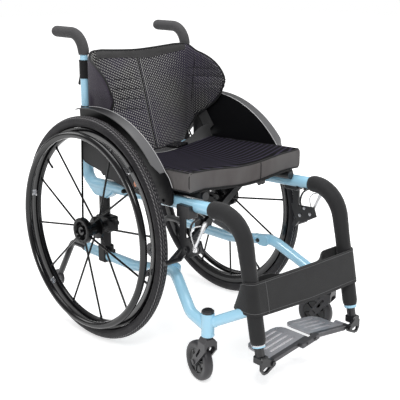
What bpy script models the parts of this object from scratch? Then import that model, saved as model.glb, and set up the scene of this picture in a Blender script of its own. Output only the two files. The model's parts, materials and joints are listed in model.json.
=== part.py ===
import math

import bmesh
import bpy
from mathutils import Matrix, Vector

# Sizes in metres. +X is the occupant's left, -Y the front, +Z up. Until the root empty
# shifts everything, y = 0 is the rear axle and z = 0 the floor.

CLEARANCE = 0.0003
TUBE_SIDES = 10

# Half the width between the two side frames: the sizes across the chair follow from it.
FRAME_X = 0.181
TUBE_RADIUS = 0.016

# Rear wheel. Radii are taken from the tyre's outside.
WHEEL_RADIUS = 0.300
WHEEL_X = FRAME_X + 0.0635
CAMBER = math.radians(1.0)
TYRE_SECTION = 0.0148
RIM_DEPTH = 0.0215
RIM_HALF_WIDTH = 0.0105
SPOKES = 12
SPOKE_RADIUS = 0.0027
SPOKE_START = math.radians(8.2)
HUB_FLANGE = 0.0335
HUB_FLANGE_X = 0.0185
HUB_BARREL = 0.0170
HUB_INNER = 0.0265
HUB_OUTER = 0.0300
HUB_SEGMENTS = 12
HAND_RIM_RADIUS = 0.255
HAND_RIM_TUBE = 0.0095
HAND_RIM_OFFSET = 0.033
HAND_RIM_CLIPS = 6
HAND_RIM_CLIP_START = math.radians(48.0)
WHEEL_SEGMENTS = 32
AXLE_PIN_RADIUS = 0.00635
AXLE_PIN_IN = 0.088
BUTTON_RADIUS = 0.0045
BUTTON_TRAVEL = 0.004

# Side frame: one bent tube from the back upright over the knee to the foot end. The leg
# runs a little inside the seat tube.
LEG_X = FRAME_X - 0.0065
TAPER_Y = -0.398
UPRIGHT_Y = 0.096
UPRIGHT_TOP = 0.470
SEAT_TUBE_Z = 0.4045
SEAT_SLOPE = 0.047
KNEE_Y = -0.4835
KNEE_BEND = 0.085
UPRIGHT_BEND = 0.035
FOOT_END_Y = -0.5442
FOOT_END_Z = 0.122
SLEEVE_START_Y = -0.394
SLEEVE_END_Z = 0.1285
SLEEVE_KNEE_RADIUS = TUBE_RADIUS + 0.0055
SLEEVE_LEG_RADIUS = TUBE_RADIUS + 0.0030
FOOT_INSERT = 0.0115

# Lower rail and caster housing, one welded piece.
RAIL_RADIUS = 0.0145
RAIL_REAR_Y = 0.106
RAIL_REAR_Z = 0.206
RAIL_KINK_Y = -0.100
RAIL_FRONT = (FRAME_X + 0.002, -0.262, 0.236)
RAIL_DROP = (FRAME_X + 0.0425, -0.365, 0.167)
CASTER_X = FRAME_X + 0.048
CASTER_Y = -0.430
HOUSING_RADIUS = 0.0145
HOUSING_BOTTOM = 0.1290
HOUSING_TOP = 0.187
STRUT_RADIUS = 0.013
STRUT_LOW = 0.160
STRUT_HIGH = 0.210

# Folding cross-brace. Both arms turn in planes across the chair.
PIVOT_X = FRAME_X - 0.026
PIVOT_Z = 0.225
SEAT_RAIL_RADIUS = 0.011
SEAT_RAIL_Z = 0.4240
SEAT_RAIL_FRONT = -0.345
SEAT_RAIL_REAR = 0.040
ARM_THICKNESS = 0.012
ARM_WIDTH = 0.019
ARM_GAP = 0.004
ARM_Y = -0.198
PIVOT_PIN = 0.004
PIVOT_LUG = 0.0035
CENTRE_BOLT = 0.005
REST_Y = -0.232
REST_STUB = 0.0105
REST_STUB_FOOT = 0.345

# Post between the frame tubes, and the axle clamp on it.
POST_Y = 0.024
POST_RADIUS = 0.0150
POST_TOP = 0.374
POST_SPIGOT = 0.009
LUG_DEPTH = 0.018

# Back canes and grips.
CANE_RADIUS = 0.0112
CANE_BOTTOM = 0.436
GRIP_HEIGHT = 0.801
GRIP_BEND = 0.053
GRIP_REAR = 0.229
GRIP_RADIUS = CANE_RADIUS + 0.0038
GRIP_LOW = GRIP_HEIGHT - 0.054
CANE_COLLAR = 0.0022
COLLAR_BOTTOM = 0.606
COLLAR_TOP = 0.622

# Side guard.
GUARD_X = FRAME_X + TUBE_RADIUS + 0.006
GUARD_THICKNESS = 0.004
FENDER_RADIUS = WHEEL_RADIUS + 0.017
FENDER_THICKNESS = 0.003
FENDER_EDGE = WHEEL_X - 0.0095
FENDER_REAR = 0.088
FENDER_FRONT = -0.253
GUARD_BOSSES = (-0.247, -0.090)
GUARD_LOW = 0.410
GUARD_FRONT = -0.281

# Casters.
CASTER_RADIUS = 0.050
CASTER_WIDTH = 0.023
CASTER_TRAIL = 0.038
CASTER_TURN = math.radians(12.0)
CASTER_HUB = 0.034
FORK_PLATE = 0.005
FORK_CROWN = 0.1235
FORK_SLOT = 0.0032
STEM_RADIUS = 0.006
CASTER_BOLT = 0.004

# Wheel lock: a plate under the seat tube, a hand lever and a shoe bar, placed as (y, z).
BRAKE_Y = -0.322
BRAKE_PLATE_X = FRAME_X + 0.025
BRAKE_PLATE = 0.005
BRAKE_PIN = 0.0035
LEVER_PIVOT = (-0.373, 0.328)
LEVER_HUB = 0.0085
SHOE_PIVOT = (-0.338, 0.318)
SHOE_BAR = (-0.3145, 0.287)
SHOE_BAR_RADIUS = 0.0058
SHOE_END_X = WHEEL_X + 0.0175

# Foot plates and their brackets.
PLATE_PIVOT_X = LEG_X - 0.0275
PLATE_PIVOT_Y = -0.549
PLATE_PIVOT_Z = 0.0775
PLATE_REACH = PLATE_PIVOT_X - 0.0075
PLATE_FRONT = -0.559
PLATE_BAR = 0.0125
PLATE_REAR = -0.457
PLATE_CORNER = 0.026
BRACKET_PLATE = 0.0070
PLATE_UP = 0.0035
PLATE_DOWN = 0.0045
PLATE_TILT = math.radians(7.5)
PLATE_PIN = 0.004
PLATE_EYE = 0.0078
PLATE_SLOTS = 4
PLATE_SLOT_PITCH = 0.0185
PLATE_SLOT_HALF = 0.0032
PLATE_THICKNESS = 0.005
HINGE_BLOCK_FRONT = -0.5735
HINGE_BLOCK_REACH = 0.016
HINGE_BLOCK_LENGTH = 0.064

# Anti-tippers.
TIPPER_RADIUS = 0.009
TIPPER_START_Y = 0.061
TIPPER_BEND_Y = 0.182
TIPPER_END_Y = 0.262
TIPPER_END_Z = 0.075
TIPPER_WHEEL = 0.024

# Seat and back.
CUSHION_HALF_WIDTH = GUARD_X - 0.0015
CUSHION_FRONT = -0.340
CUSHION_REAR = 0.014
CUSHION_THICKNESS = 0.051
SLING_THICKNESS = 0.0026
BACK_TOP = 0.757
BACK_BOTTOM = 0.478
BACK_THICKNESS = 0.012
BACK_ROWS = 7
BACK_STATIONS = (0.44, 0.78)
WING_STATIONS = (0.25, 0.50, 0.75, 0.90, 0.97, 1.0)
WING_X = FRAME_X + 0.023
WING_REACH = 0.125
WING_TIP_Z = 0.642
WING_TUCK = 0.0085
BACK_HEM_LIFT = 0.055
BACK_HEM_DROP = 0.0130
WING_CLEAR_Z = 0.636
BACK_LOOP = (0.682, 0.728)
BELT_WIDTH = 0.038
BELT_THICKNESS = 0.0022
STRAP_TOP = 0.270
STRAP_BOTTOM = 0.182
STRAP_THICKNESS = 0.003
STRAP_FLARE = 0.028

BLACK = (0.030, 0.030, 0.033)
MATERIALS = {
    "frame_blue": ((0.235, 0.520, 0.920), 0.28, 0.0),
    "black_metal": (BLACK, 0.38, 0.6),
    "foam_black": ((0.032, 0.031, 0.033), 0.85, 0.0),
    "grip_grey": ((0.120, 0.118, 0.120), 0.75, 0.0),
    "tyre_black": ((0.022, 0.022, 0.024), 0.72, 0.0),
    "caster_black": ((0.035, 0.034, 0.036), 0.55, 0.0),
    "fabric_black": ((0.045, 0.044, 0.048), 0.92, 0.0),
    "plate_silver": ((0.480, 0.480, 0.500), 0.36, 0.9),
    "steel": ((0.620, 0.620, 0.630), 0.25, 1.0),
    "guard_black": ((0.020, 0.020, 0.022), 0.45, 0.0),
}


def clear_scene():
    for obj in list(bpy.data.objects):
        bpy.data.objects.remove(obj, do_unlink=True)


def material(name):
    existing = bpy.data.materials.get(name)
    if existing:
        return existing
    colour, roughness, metallic = MATERIALS[name]
    made = bpy.data.materials.new(name)
    made.use_nodes = True
    shader = made.node_tree.nodes["Principled BSDF"]
    shader.inputs["Base Color"].default_value = (*colour, 1.0)
    shader.inputs["Roughness"].default_value = roughness
    shader.inputs["Metallic"].default_value = metallic
    made.diffuse_color = (*colour, 1.0)
    return made


def to_object(bm):
    bmesh.ops.recalc_face_normals(bm, faces=bm.faces)
    if bm.calc_volume(signed=True) < 0:
        bmesh.ops.reverse_faces(bm, faces=bm.faces)
    mesh = bpy.data.meshes.new("shape")
    bm.to_mesh(mesh)
    bm.free()
    obj = bpy.data.objects.new("shape", mesh)
    bpy.context.scene.collection.objects.link(obj)
    return obj


def combine(base, others, operation):
    for other in others:
        modifier = base.modifiers.new("combine", "BOOLEAN")
        modifier.operation = operation
        modifier.solver = "EXACT"
        modifier.object = other
    graph = bpy.context.evaluated_depsgraph_get()
    mesh = bpy.data.meshes.new_from_object(base.evaluated_get(graph))
    base.modifiers.clear()
    base.data = mesh
    for other in others:
        bpy.data.objects.remove(other, do_unlink=True)
    return base


def union(base, *others):
    return combine(base, others, "UNION")


def cut(base, *others):
    return combine(base, others, "DIFFERENCE")


def finish(obj, name, slot, root, pivot=(0.0, 0.0, 0.0), side=1, smooth=35.0):
    """Names the piece, mirrors it for the right side and puts its origin on its joint."""
    point = Vector((pivot[0] * side, pivot[1], pivot[2]))
    mesh = obj.data
    if side < 0:
        mesh.transform(Matrix.Diagonal((-1.0, 1.0, 1.0, 1.0)))
        mesh.flip_normals()
    mesh.transform(Matrix.Translation(-point))
    mesh.materials.clear()
    mesh.materials.append(material(slot))
    mesh.polygons.foreach_set("material_index", [0] * len(mesh.polygons))
    mesh.polygons.foreach_set("use_smooth", [True] * len(mesh.polygons))
    mesh.set_sharp_from_angle(angle=math.radians(smooth))
    obj.name = name
    mesh.name = name
    obj.location = point
    obj.parent = root
    return obj


def label(side, name):
    return ("left_" if side > 0 else "right_") + name


def box(low, high, bevel=0.0):
    bm = bmesh.new()
    bmesh.ops.create_cube(bm, size=1.0)
    low = Vector(low)
    high = Vector(high)
    size = high - low
    for vert in bm.verts:
        vert.co = (low + high) / 2 + Vector(a * b for a, b in zip(vert.co, size))
    if bevel > 0:
        bmesh.ops.bevel(bm, geom=bm.edges[:], offset=bevel, segments=1, affect="EDGES")
    return to_object(bm)


def prism(outline, axis, low, high):
    """Extrudes an outline given in the two other axes, in X, Y, Z order."""
    bm = bmesh.new()
    place = {
        "x": lambda a, b, t: (t, a, b),
        "y": lambda a, b, t: (a, t, b),
        "z": lambda a, b, t: (a, b, t),
    }[axis]
    face = bm.faces.new([bm.verts.new(place(a, b, low)) for a, b in outline])
    made = bmesh.ops.extrude_face_region(bm, geom=[face])["geom"]
    moved = [item for item in made if isinstance(item, bmesh.types.BMVert)]
    bmesh.ops.translate(bm, verts=moved, vec=Vector(place(0.0, 0.0, high - low)))
    return to_object(bm)


def circle(centre, radius, count, start=0.0, sweep_angle=2 * math.pi, closed=True):
    steps = count if closed else count - 1
    return [
        (
            centre[0] + radius * math.cos(start + sweep_angle * i / steps),
            centre[1] + radius * math.sin(start + sweep_angle * i / steps),
        )
        for i in range(count)
    ]


def rod(start, end, radius, sides=TUBE_SIDES):
    return sweep([Vector(start), Vector(end)], radius, sides)


def rounded(points, radii, steps=4):
    """Replaces the inner corners of a path by arcs."""
    points = [Vector(point) for point in points]
    path = [points[0]]
    for before, corner, after, radius in zip(points, points[1:], points[2:], radii):
        into = (before - corner).normalized()
        out = (after - corner).normalized()
        opening = into.angle(out)
        reach = radius / math.tan(opening / 2)
        start = corner + into * reach
        centre = corner + (into + out).normalized() * (radius / math.sin(opening / 2))
        spoke = start - centre
        normal = into.cross(out)
        turn = math.pi - opening
        for i in range(steps + 1):
            path.append(centre + Matrix.Rotation(-turn * i / steps, 3, normal) @ spoke)
    path.append(points[-1])
    return path


def rings(path, radii, sides, reference):
    """Mitred rings of a round section, so straight runs keep their exact radius."""
    ways = [(b - a).normalized() for a, b in zip(path, path[1:])]
    first = ways[0]
    across = (reference - first * reference.dot(first)).normalized()
    other = first.cross(across)
    made = []
    spokes = []
    for i in range(sides):
        angle = 2 * math.pi * i / sides
        spokes.append(across * math.cos(angle) + other * math.sin(angle))
    for i, point in enumerate(path):
        before = ways[max(i - 1, 0)]
        after = ways[min(i, len(ways) - 1)]
        normal = (before + after).normalized()
        slide = [s - before * (s.dot(normal) / before.dot(normal)) for s in spokes]
        made.append([point + s * radii[i] for s in slide])
        turn = before.rotation_difference(after)
        spokes = [turn @ s for s in spokes]
    return made


def sweep(path, radius, sides=TUBE_SIDES, inner=0.0, reference=Vector((1.0, 0.0, 0.0))):
    path = [Vector(point) for point in path]
    way = (path[1] - path[0]).normalized()
    if abs(way.dot(reference)) > 0.9:
        reference = Vector((0.0, 1.0, 0.0))
    outer_radii = radius if isinstance(radius, list) else [radius] * len(path)
    bm = bmesh.new()
    layers = [[[bm.verts.new(co) for co in ring]
               for ring in rings(path, outer_radii, sides, reference)]]
    if inner > 0:
        layers.append([[bm.verts.new(co) for co in ring]
                       for ring in rings(path, [inner] * len(path), sides, reference)])
    for layer in layers:
        for near, far in zip(layer, layer[1:]):
            for i in range(sides):
                j = (i + 1) % sides
                bm.faces.new((near[i], near[j], far[j], far[i]))
    for end in (0, -1):
        if inner > 0:
            for i in range(sides):
                j = (i + 1) % sides
                bm.faces.new((layers[0][end][i], layers[0][end][j],
                              layers[1][end][j], layers[1][end][i]))
        else:
            bm.faces.new(layers[0][end])
    return to_object(bm)


def lathe(profile, matrix, segments):
    """Turns a closed profile of (along, radius) pairs about the matrix's X axis."""
    bm = bmesh.new()
    turned = []
    for i in range(segments):
        angle = 2 * math.pi * i / segments
        turned.append([
            bm.verts.new(matrix @ Vector((u, -r * math.cos(angle), r * math.sin(angle))))
            for u, r in profile
        ])
    count = len(profile)
    for near, far in zip(turned, turned[1:] + turned[:1]):
        for i in range(count):
            j = (i + 1) % count
            bm.faces.new((near[i], near[j], far[j], far[i]))
    return to_object(bm)


def seat_tube_z(y):
    return SEAT_TUBE_Z - SEAT_SLOPE * y


def seat_rail_z(y):
    return SEAT_RAIL_Z - SEAT_SLOPE * y


def wheel_matrix():
    """Wheel space: X along the axle, outboard, origin at the hub's middle."""
    height = TYRE_SECTION + (WHEEL_RADIUS - TYRE_SECTION) * math.cos(CAMBER)
    return Matrix.Translation((WHEEL_X, 0.0, height)) @ Matrix.Rotation(-CAMBER, 4, "Y")


def wheel_point(u, y=0.0, z=0.0):
    return wheel_matrix() @ Vector((u, y, z))


def frame_path():
    """Axis of the bent frame tube. It turns inward a little under the leg sleeve's start."""
    taper = (FRAME_X, TAPER_Y, seat_tube_z(TAPER_Y))
    rear = rounded([(FRAME_X, UPRIGHT_Y, UPRIGHT_TOP), (FRAME_X, UPRIGHT_Y, seat_tube_z(UPRIGHT_Y)), taper],
                   [UPRIGHT_BEND])
    leg = rounded([taper, (LEG_X, KNEE_Y, seat_tube_z(KNEE_Y)), (LEG_X, FOOT_END_Y, FOOT_END_Z)],
                  [KNEE_BEND])
    return rear + leg[1:]


def leg_way():
    """Corner of the knee on the leg's axis, and the unit vector down the leg."""
    top = Vector((LEG_X, KNEE_Y, seat_tube_z(KNEE_Y)))
    low = Vector((LEG_X, FOOT_END_Y, FOOT_END_Z))
    return top, (low - top).normalized()


def leg_point(z):
    """Point on the leg's axis at a height."""
    top, way = leg_way()
    return top + way * ((z - top.z) / way.z)


def strut_ends():
    return Vector((CASTER_X, CASTER_Y, STRUT_LOW)), leg_point(STRUT_HIGH)


def side_frame(root, side):
    frame = sweep(frame_path(), TUBE_RADIUS)
    bore = CANE_RADIUS + CLEARANCE
    socket = rod((FRAME_X, UPRIGHT_Y, CANE_BOTTOM - CLEARANCE),
                 (FRAME_X, UPRIGHT_Y, UPRIGHT_TOP + 0.01), bore, TUBE_SIDES)
    low = leg_point(FOOT_END_Z)
    way = leg_way()[1]
    foot = sweep([low - way * 0.030, low + way * 0.01], FOOT_INSERT + CLEARANCE)
    top = seat_tube_z(POST_Y)
    half = TUBE_RADIUS - 0.0008
    lug = prism([(POST_Y + 0.056, top - 0.006), (POST_Y + 0.030, POST_TOP), (POST_Y - 0.028, POST_TOP),
                 (POST_Y - 0.058, top)], "x", FRAME_X - half, FRAME_X + half)
    union(frame, lug)
    spigot = rod((FRAME_X, POST_Y, POST_TOP - 0.01), (FRAME_X, POST_Y, POST_TOP + LUG_DEPTH + CLEARANCE),
                 POST_SPIGOT + CLEARANCE, 12)
    cut(frame, socket, foot, spigot)
    return finish(frame, label(side, "side_frame"), "frame_blue", root, side=side)


def leg_sleeve(root, side):
    path = [p for p in frame_path() if p.y < SLEEVE_START_Y and p.z > SLEEVE_END_Z]
    start = Vector((FRAME_X, SLEEVE_START_Y, seat_tube_z(SLEEVE_START_Y)))
    path = [start] + path + [leg_point(STRAP_TOP + 0.030), leg_point(SLEEVE_END_Z)]
    last = len(path) - 1
    radii = []
    for i, point in enumerate(path):
        share = min(1.0, max(0.0, (0.40 - point.z) / 0.10))
        radii.append(SLEEVE_KNEE_RADIUS + (SLEEVE_LEG_RADIUS - SLEEVE_KNEE_RADIUS) * share)
    radii[0] = SLEEVE_KNEE_RADIUS - 0.0012
    radii[last] = SLEEVE_LEG_RADIUS
    sleeve = sweep(path, radii, inner=TUBE_RADIUS + CLEARANCE)
    near, far = strut_ends()
    cut(sleeve, sweep([near, far], STRUT_RADIUS + CLEARANCE, 12))
    return finish(sleeve, label(side, "leg_sleeve"), "foam_black", root, side=side)


def lower_frame(root, side):
    path = rounded(
        [
            (FRAME_X, RAIL_REAR_Y, RAIL_REAR_Z),
            (FRAME_X, RAIL_KINK_Y, RAIL_REAR_Z),
            RAIL_FRONT,
            RAIL_DROP,
            (CASTER_X, CASTER_Y + 0.004, 0.153),
        ],
        [0.10, 0.055, 0.060],
        steps=3,
    )
    frame = sweep(path, RAIL_RADIUS)
    housing = rod((CASTER_X, CASTER_Y, HOUSING_BOTTOM), (CASTER_X, CASTER_Y, HOUSING_TOP),
                  HOUSING_RADIUS + 0.0015)
    near, far = strut_ends()
    strut = sweep([near, far], STRUT_RADIUS, 12)
    arm_y = arm_centre(side)
    reach = ARM_THICKNESS / 2 + CLEARANCE
    lugs = []
    for way in (-1, 1):
        low = arm_y + way * (reach + PIVOT_LUG / 2) - PIVOT_LUG / 2
        outline = circle((PIVOT_X, PIVOT_Z), 0.0105, 5, math.pi / 2, math.pi, closed=False)
        outline += [(PIVOT_X + 0.016, PIVOT_Z - 0.0105), (PIVOT_X + 0.016, PIVOT_Z + 0.0105)]
        lugs.append(prism(outline, "y", low, low + PIVOT_LUG))
    pin = rod((PIVOT_X, arm_y - 0.0135, PIVOT_Z), (PIVOT_X, arm_y + 0.0115, PIVOT_Z),
              PIVOT_PIN, 12)
    head = rod((PIVOT_X, arm_y - 0.0140, PIVOT_Z), (PIVOT_X, arm_y - 0.0093, PIVOT_Z), 0.0072, 6)
    union(frame, housing, strut, *lugs, pin, head)
    stem = rod((CASTER_X, CASTER_Y, 0.10), (CASTER_X, CASTER_Y, 0.20),
               STEM_RADIUS + CLEARANCE, 12)
    leg = sweep(frame_path(), TUBE_RADIUS + CLEARANCE)
    tipper = rod((FRAME_X, TIPPER_START_Y - 0.001, RAIL_REAR_Z), (FRAME_X, RAIL_REAR_Y + 0.01, RAIL_REAR_Z),
                 TIPPER_RADIUS + 2 * CLEARANCE)
    trim = box((FRAME_X - 0.06, -0.70, 0.15), (FRAME_X + 0.03, leg_point(STRUT_HIGH).y, 0.28))
    cut(frame, stem, tipper, trim, leg)
    return finish(frame, label(side, "lower_frame"), "frame_blue", root, side=side)


def arm_centre(side):
    """The left side carries the rear arm's foot, the right side the front arm's."""
    return ARM_Y + side * (ARM_THICKNESS + ARM_GAP) / 2


def arm_top_z():
    return seat_rail_z(ARM_Y)


def cross_centre():
    return (0.0, ARM_Y, (PIVOT_Z + arm_top_z()) / 2)


def cross_member(root, side):
    """An arm pivoted on this side's lower rail, with the other side's seat rail on top."""
    y = arm_centre(side)
    foot = Vector((PIVOT_X, PIVOT_Z))
    head = Vector((-PIVOT_X, arm_top_z()))
    angle = math.atan2(head.y - foot.y, head.x - foot.x)
    half = ARM_WIDTH / 2
    outline = circle(foot, half, 5, angle + math.pi / 2, math.pi, closed=False)
    outline += circle(head, half, 3, angle - math.pi / 2, math.pi, closed=False)
    arm = prism(outline, "y", y - ARM_THICKNESS / 2, y + ARM_THICKNESS / 2)
    rail = rod((-PIVOT_X, SEAT_RAIL_FRONT, seat_rail_z(SEAT_RAIL_FRONT)),
               (-PIVOT_X, SEAT_RAIL_REAR, seat_rail_z(SEAT_RAIL_REAR)), SEAT_RAIL_RADIUS, 12)
    union(arm, rail)
    centre = cross_centre()
    cut(arm,
        rod((PIVOT_X, y - 0.02, PIVOT_Z), (PIVOT_X, y + 0.02, PIVOT_Z),
            PIVOT_PIN + CLEARANCE, 12),
        rod((0.0, y - 0.02, centre[2]), (0.0, y + 0.02, centre[2]),
            CENTRE_BOLT + CLEARANCE, 12))
    pivot = (PIVOT_X, y, PIVOT_Z)
    return finish(arm, label(side, "cross_member"), "black_metal", root, pivot, side)


def cross_pivot_bolt(root):
    x, y, z = cross_centre()
    depth = ARM_GAP / 2 + ARM_THICKNESS + CLEARANCE
    bolt = rod((x, y - depth - 0.003, z), (x, y + depth + 0.003, z), CENTRE_BOLT, 12)
    washer = ARM_GAP / 2 - CLEARANCE
    heads = [
        rod((x, y - depth - 0.0045, z), (x, y - depth, z), 0.0095, 6),
        rod((x, y + depth, z), (x, y + depth + 0.0045, z), 0.0095, 6),
        rod((x, y - washer, z), (x, y + washer, z), 0.0095, 12),
    ]
    union(bolt, *heads)
    return finish(bolt, "cross_pivot_bolt", "steel", root, (x, y, z))


def rail_rest(root, side):
    """Cradle on the seat tube's inner side, with its short stub, for the seat rail."""
    y = REST_Y
    rail_z = seat_rail_z(y)
    cradle = box((PIVOT_X - 0.013, y - 0.012, 0.392), (FRAME_X - 0.003, y + 0.012, rail_z - 0.005),
                 0.002)
    stub = rod((PIVOT_X, y, REST_STUB_FOOT), (PIVOT_X, y, 0.400), REST_STUB, 12)
    union(cradle, stub)
    cut(cradle,
        rod((PIVOT_X, y - 0.03, seat_rail_z(y - 0.03)), (PIVOT_X, y + 0.03, seat_rail_z(y + 0.03)),
            SEAT_RAIL_RADIUS + CLEARANCE, 12),
        box((PIVOT_X - SEAT_RAIL_RADIUS - CLEARANCE, y - 0.03, rail_z),
            (PIVOT_X + SEAT_RAIL_RADIUS + CLEARANCE, y + 0.03, rail_z + 0.02)),
        sweep([(FRAME_X, end, seat_tube_z(end)) for end in (y + 0.03, y - 0.03)],
              TUBE_RADIUS + CLEARANCE))
    return finish(cradle, label(side, "rail_rest"), "black_metal", root, side=side)


def axle_post(root, side):
    post = rod((FRAME_X, POST_Y, RAIL_REAR_Z), (FRAME_X, POST_Y, POST_TOP - CLEARANCE), POST_RADIUS)
    spigot = rod((FRAME_X, POST_Y, POST_TOP - 0.01), (FRAME_X, POST_Y, POST_TOP + LUG_DEPTH),
                 POST_SPIGOT, 12)
    half = RAIL_RADIUS + 0.003
    shoe = box((FRAME_X - half, POST_Y - POST_RADIUS, RAIL_REAR_Z - half),
               (FRAME_X + half, POST_Y + POST_RADIUS, RAIL_REAR_Z + 0.030), 0.003)
    fin = box((FRAME_X - 0.003, POST_Y - 0.038, RAIL_REAR_Z + 0.008),
              (FRAME_X + 0.003, POST_Y - POST_RADIUS + 0.002, RAIL_REAR_Z + 0.024))
    union(post, spigot, shoe, fin)
    cut(post,
        rod((FRAME_X, RAIL_REAR_Y, RAIL_REAR_Z), (FRAME_X, -0.09, RAIL_REAR_Z),
            RAIL_RADIUS + CLEARANCE))
    return finish(post, label(side, "axle_post"), "black_metal", root, side=side)


def axle_clamp(root, side):
    height = wheel_matrix().translation.z
    half = POST_RADIUS + 0.004
    front = -AXLE_PIN_RADIUS - 0.005
    block = box((FRAME_X - half, front, height - 0.020), (FRAME_X + half, POST_Y + half, height + 0.021),
                0.003)
    boss = sweep([wheel_point(-0.050), wheel_point(-HUB_INNER - 0.0012)], 0.0115, 12)
    knob = Vector((FRAME_X + 0.006, front, height + 0.012))
    screw = sweep([knob + Vector((0.0, 0.004, 0.0)), knob - Vector((0.0, 0.020, 0.0))], 0.0035, 8)
    head = sweep([knob - Vector((0.0, 0.016, 0.0)), knob - Vector((0.0, 0.026, 0.0))], 0.0072, 6)
    union(block, boss, screw, head)
    cut(block,
        rod((FRAME_X, POST_Y, height - 0.05), (FRAME_X, POST_Y, height + 0.05),
            POST_RADIUS + CLEARANCE),
        sweep([wheel_point(-0.12), wheel_point(0.0)], AXLE_PIN_RADIUS + CLEARANCE, 12))
    return finish(block, label(side, "axle_clamp"), "black_metal", root, side=side)


def back_cane(root, side):
    path = rounded(
        [
            (FRAME_X, UPRIGHT_Y, CANE_BOTTOM),
            (FRAME_X, UPRIGHT_Y, GRIP_HEIGHT),
            (FRAME_X, GRIP_REAR - 0.016, GRIP_HEIGHT),
        ],
        [GRIP_BEND],
    )
    cane = sweep(path, CANE_RADIUS)
    collar = rod((FRAME_X, UPRIGHT_Y, COLLAR_BOTTOM), (FRAME_X, UPRIGHT_Y, COLLAR_TOP),
                 CANE_RADIUS + CANE_COLLAR)
    seat = rod((FRAME_X, UPRIGHT_Y, UPRIGHT_TOP + CLEARANCE), (FRAME_X, UPRIGHT_Y, UPRIGHT_TOP + 0.014),
               TUBE_RADIUS - 0.001)
    union(cane, collar, seat)
    return finish(cane, label(side, "back_cane"), "frame_blue", root, side=side)


def push_grip(root, side):
    whole = rounded(
        [
            (FRAME_X, UPRIGHT_Y, GRIP_LOW),
            (FRAME_X, UPRIGHT_Y, GRIP_HEIGHT),
            (FRAME_X, GRIP_REAR, GRIP_HEIGHT),
        ],
        [GRIP_BEND],
    )
    radii = [GRIP_RADIUS] * len(whole)
    radii[-1] = GRIP_RADIUS - 0.002
    grip = sweep(whole, radii)
    inner = rounded(
        [
            (FRAME_X, UPRIGHT_Y, GRIP_LOW - 0.02),
            (FRAME_X, UPRIGHT_Y, GRIP_HEIGHT),
            (FRAME_X, GRIP_REAR - 0.016 + CLEARANCE, GRIP_HEIGHT),
        ],
        [GRIP_BEND],
    )
    cut(grip, sweep(inner, CANE_RADIUS + CLEARANCE))
    return finish(grip, label(side, "push_grip"), "grip_grey", root, side=side)


def side_guard(root, side):
    centre = (0.0, wheel_matrix().translation.z)
    rear = math.acos(FENDER_REAR / FENDER_RADIUS)
    front = math.acos(FENDER_FRONT / FENDER_RADIUS)
    outer = circle(centre, FENDER_RADIUS + FENDER_THICKNESS, 13, rear, front - rear, closed=False)
    inner = circle(centre, FENDER_RADIUS, 13, rear, front - rear, closed=False)
    panel = outer + [
        (GUARD_FRONT, 0.456),
        (GUARD_FRONT - 0.004, 0.424),
        (GUARD_FRONT + 0.008, GUARD_LOW),
        (-0.012, GUARD_LOW),
        (0.020, 0.424),
        (0.045, 0.450),
        (0.062, 0.490),
        (0.080, 0.560),
    ]
    guard = prism(panel, "x", GUARD_X, GUARD_X + GUARD_THICKNESS)
    lip = prism(outer + inner[::-1], "x", GUARD_X + 0.001, FENDER_EDGE)
    bosses = []
    for y in GUARD_BOSSES:
        z = seat_tube_z(y) + 0.004
        start = FRAME_X + TUBE_RADIUS + CLEARANCE
        bosses.append(rod((start, y, z), (GUARD_X + 0.002, y, z), 0.006, 10))
    union(guard, lip, *bosses)
    return finish(guard, label(side, "side_guard"), "guard_black", root, side=side)


def rear_tyre(root, side):
    profile = circle((0.0, WHEEL_RADIUS - TYRE_SECTION), TYRE_SECTION, 8, math.pi / 2)
    tyre = lathe(profile, wheel_matrix(), WHEEL_SEGMENTS)
    return finish(tyre, label(side, "rear_tyre"), "tyre_black", root, wheel_point(0.0), side)


def rim_seat():
    """Radius of the rim under the tyre, and of its inner face."""
    seat = WHEEL_RADIUS - 2 * TYRE_SECTION - CLEARANCE
    return seat, seat - RIM_DEPTH


def rear_rim(root, side):
    seat, well = rim_seat()
    profile = [
        (-RIM_HALF_WIDTH, seat),
        (-RIM_HALF_WIDTH, seat - 0.008),
        (-0.0055, well),
        (0.0055, well),
        (RIM_HALF_WIDTH, seat - 0.008),
        (RIM_HALF_WIDTH, seat),
    ]
    rim = lathe(profile, wheel_matrix(), WHEEL_SEGMENTS)
    return finish(rim, label(side, "rear_rim"), "black_metal", root, wheel_point(0.0), side)


def spoked_hub(root, side):
    matrix = wheel_matrix()
    bore = AXLE_PIN_RADIUS + CLEARANCE
    hub = lathe(
        [
            (-HUB_INNER, bore), (HUB_OUTER, bore), (HUB_OUTER, HUB_BARREL - 0.001),
            (HUB_FLANGE_X, HUB_BARREL + 0.0015), (HUB_FLANGE_X, HUB_FLANGE - 0.008),
            (HUB_FLANGE_X + 0.005, HUB_FLANGE - 0.007), (HUB_FLANGE_X + 0.005, HUB_FLANGE),
            (HUB_FLANGE_X - 0.005, HUB_FLANGE), (HUB_FLANGE_X - 0.008, HUB_BARREL),
            (0.008 - HUB_FLANGE_X, HUB_BARREL), (0.005 - HUB_FLANGE_X, HUB_FLANGE - 0.003),
            (-HUB_FLANGE_X - 0.002, HUB_FLANGE - 0.003), (-HUB_INNER, HUB_BARREL - 0.003),
        ],
        matrix, HUB_SEGMENTS)
    reach = rim_seat()[1] * math.cos(math.pi / WHEEL_SEGMENTS) - CLEARANCE
    spokes = []
    for i in range(SPOKES):
        angle = SPOKE_START + 2 * math.pi * i / SPOKES
        away = Vector((0.0, -math.cos(angle), math.sin(angle)))
        offset = HUB_FLANGE_X if i % 2 else -HUB_FLANGE_X
        start = Vector((offset, 0.0, 0.0)) + away * (HUB_FLANGE - 0.007)
        spokes.append(sweep([matrix @ start, matrix @ (away * reach)], SPOKE_RADIUS, 4))
    union(hub, *spokes)
    return finish(hub, label(side, "spoked_hub"), "black_metal", root, wheel_point(0.0), side)


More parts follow.
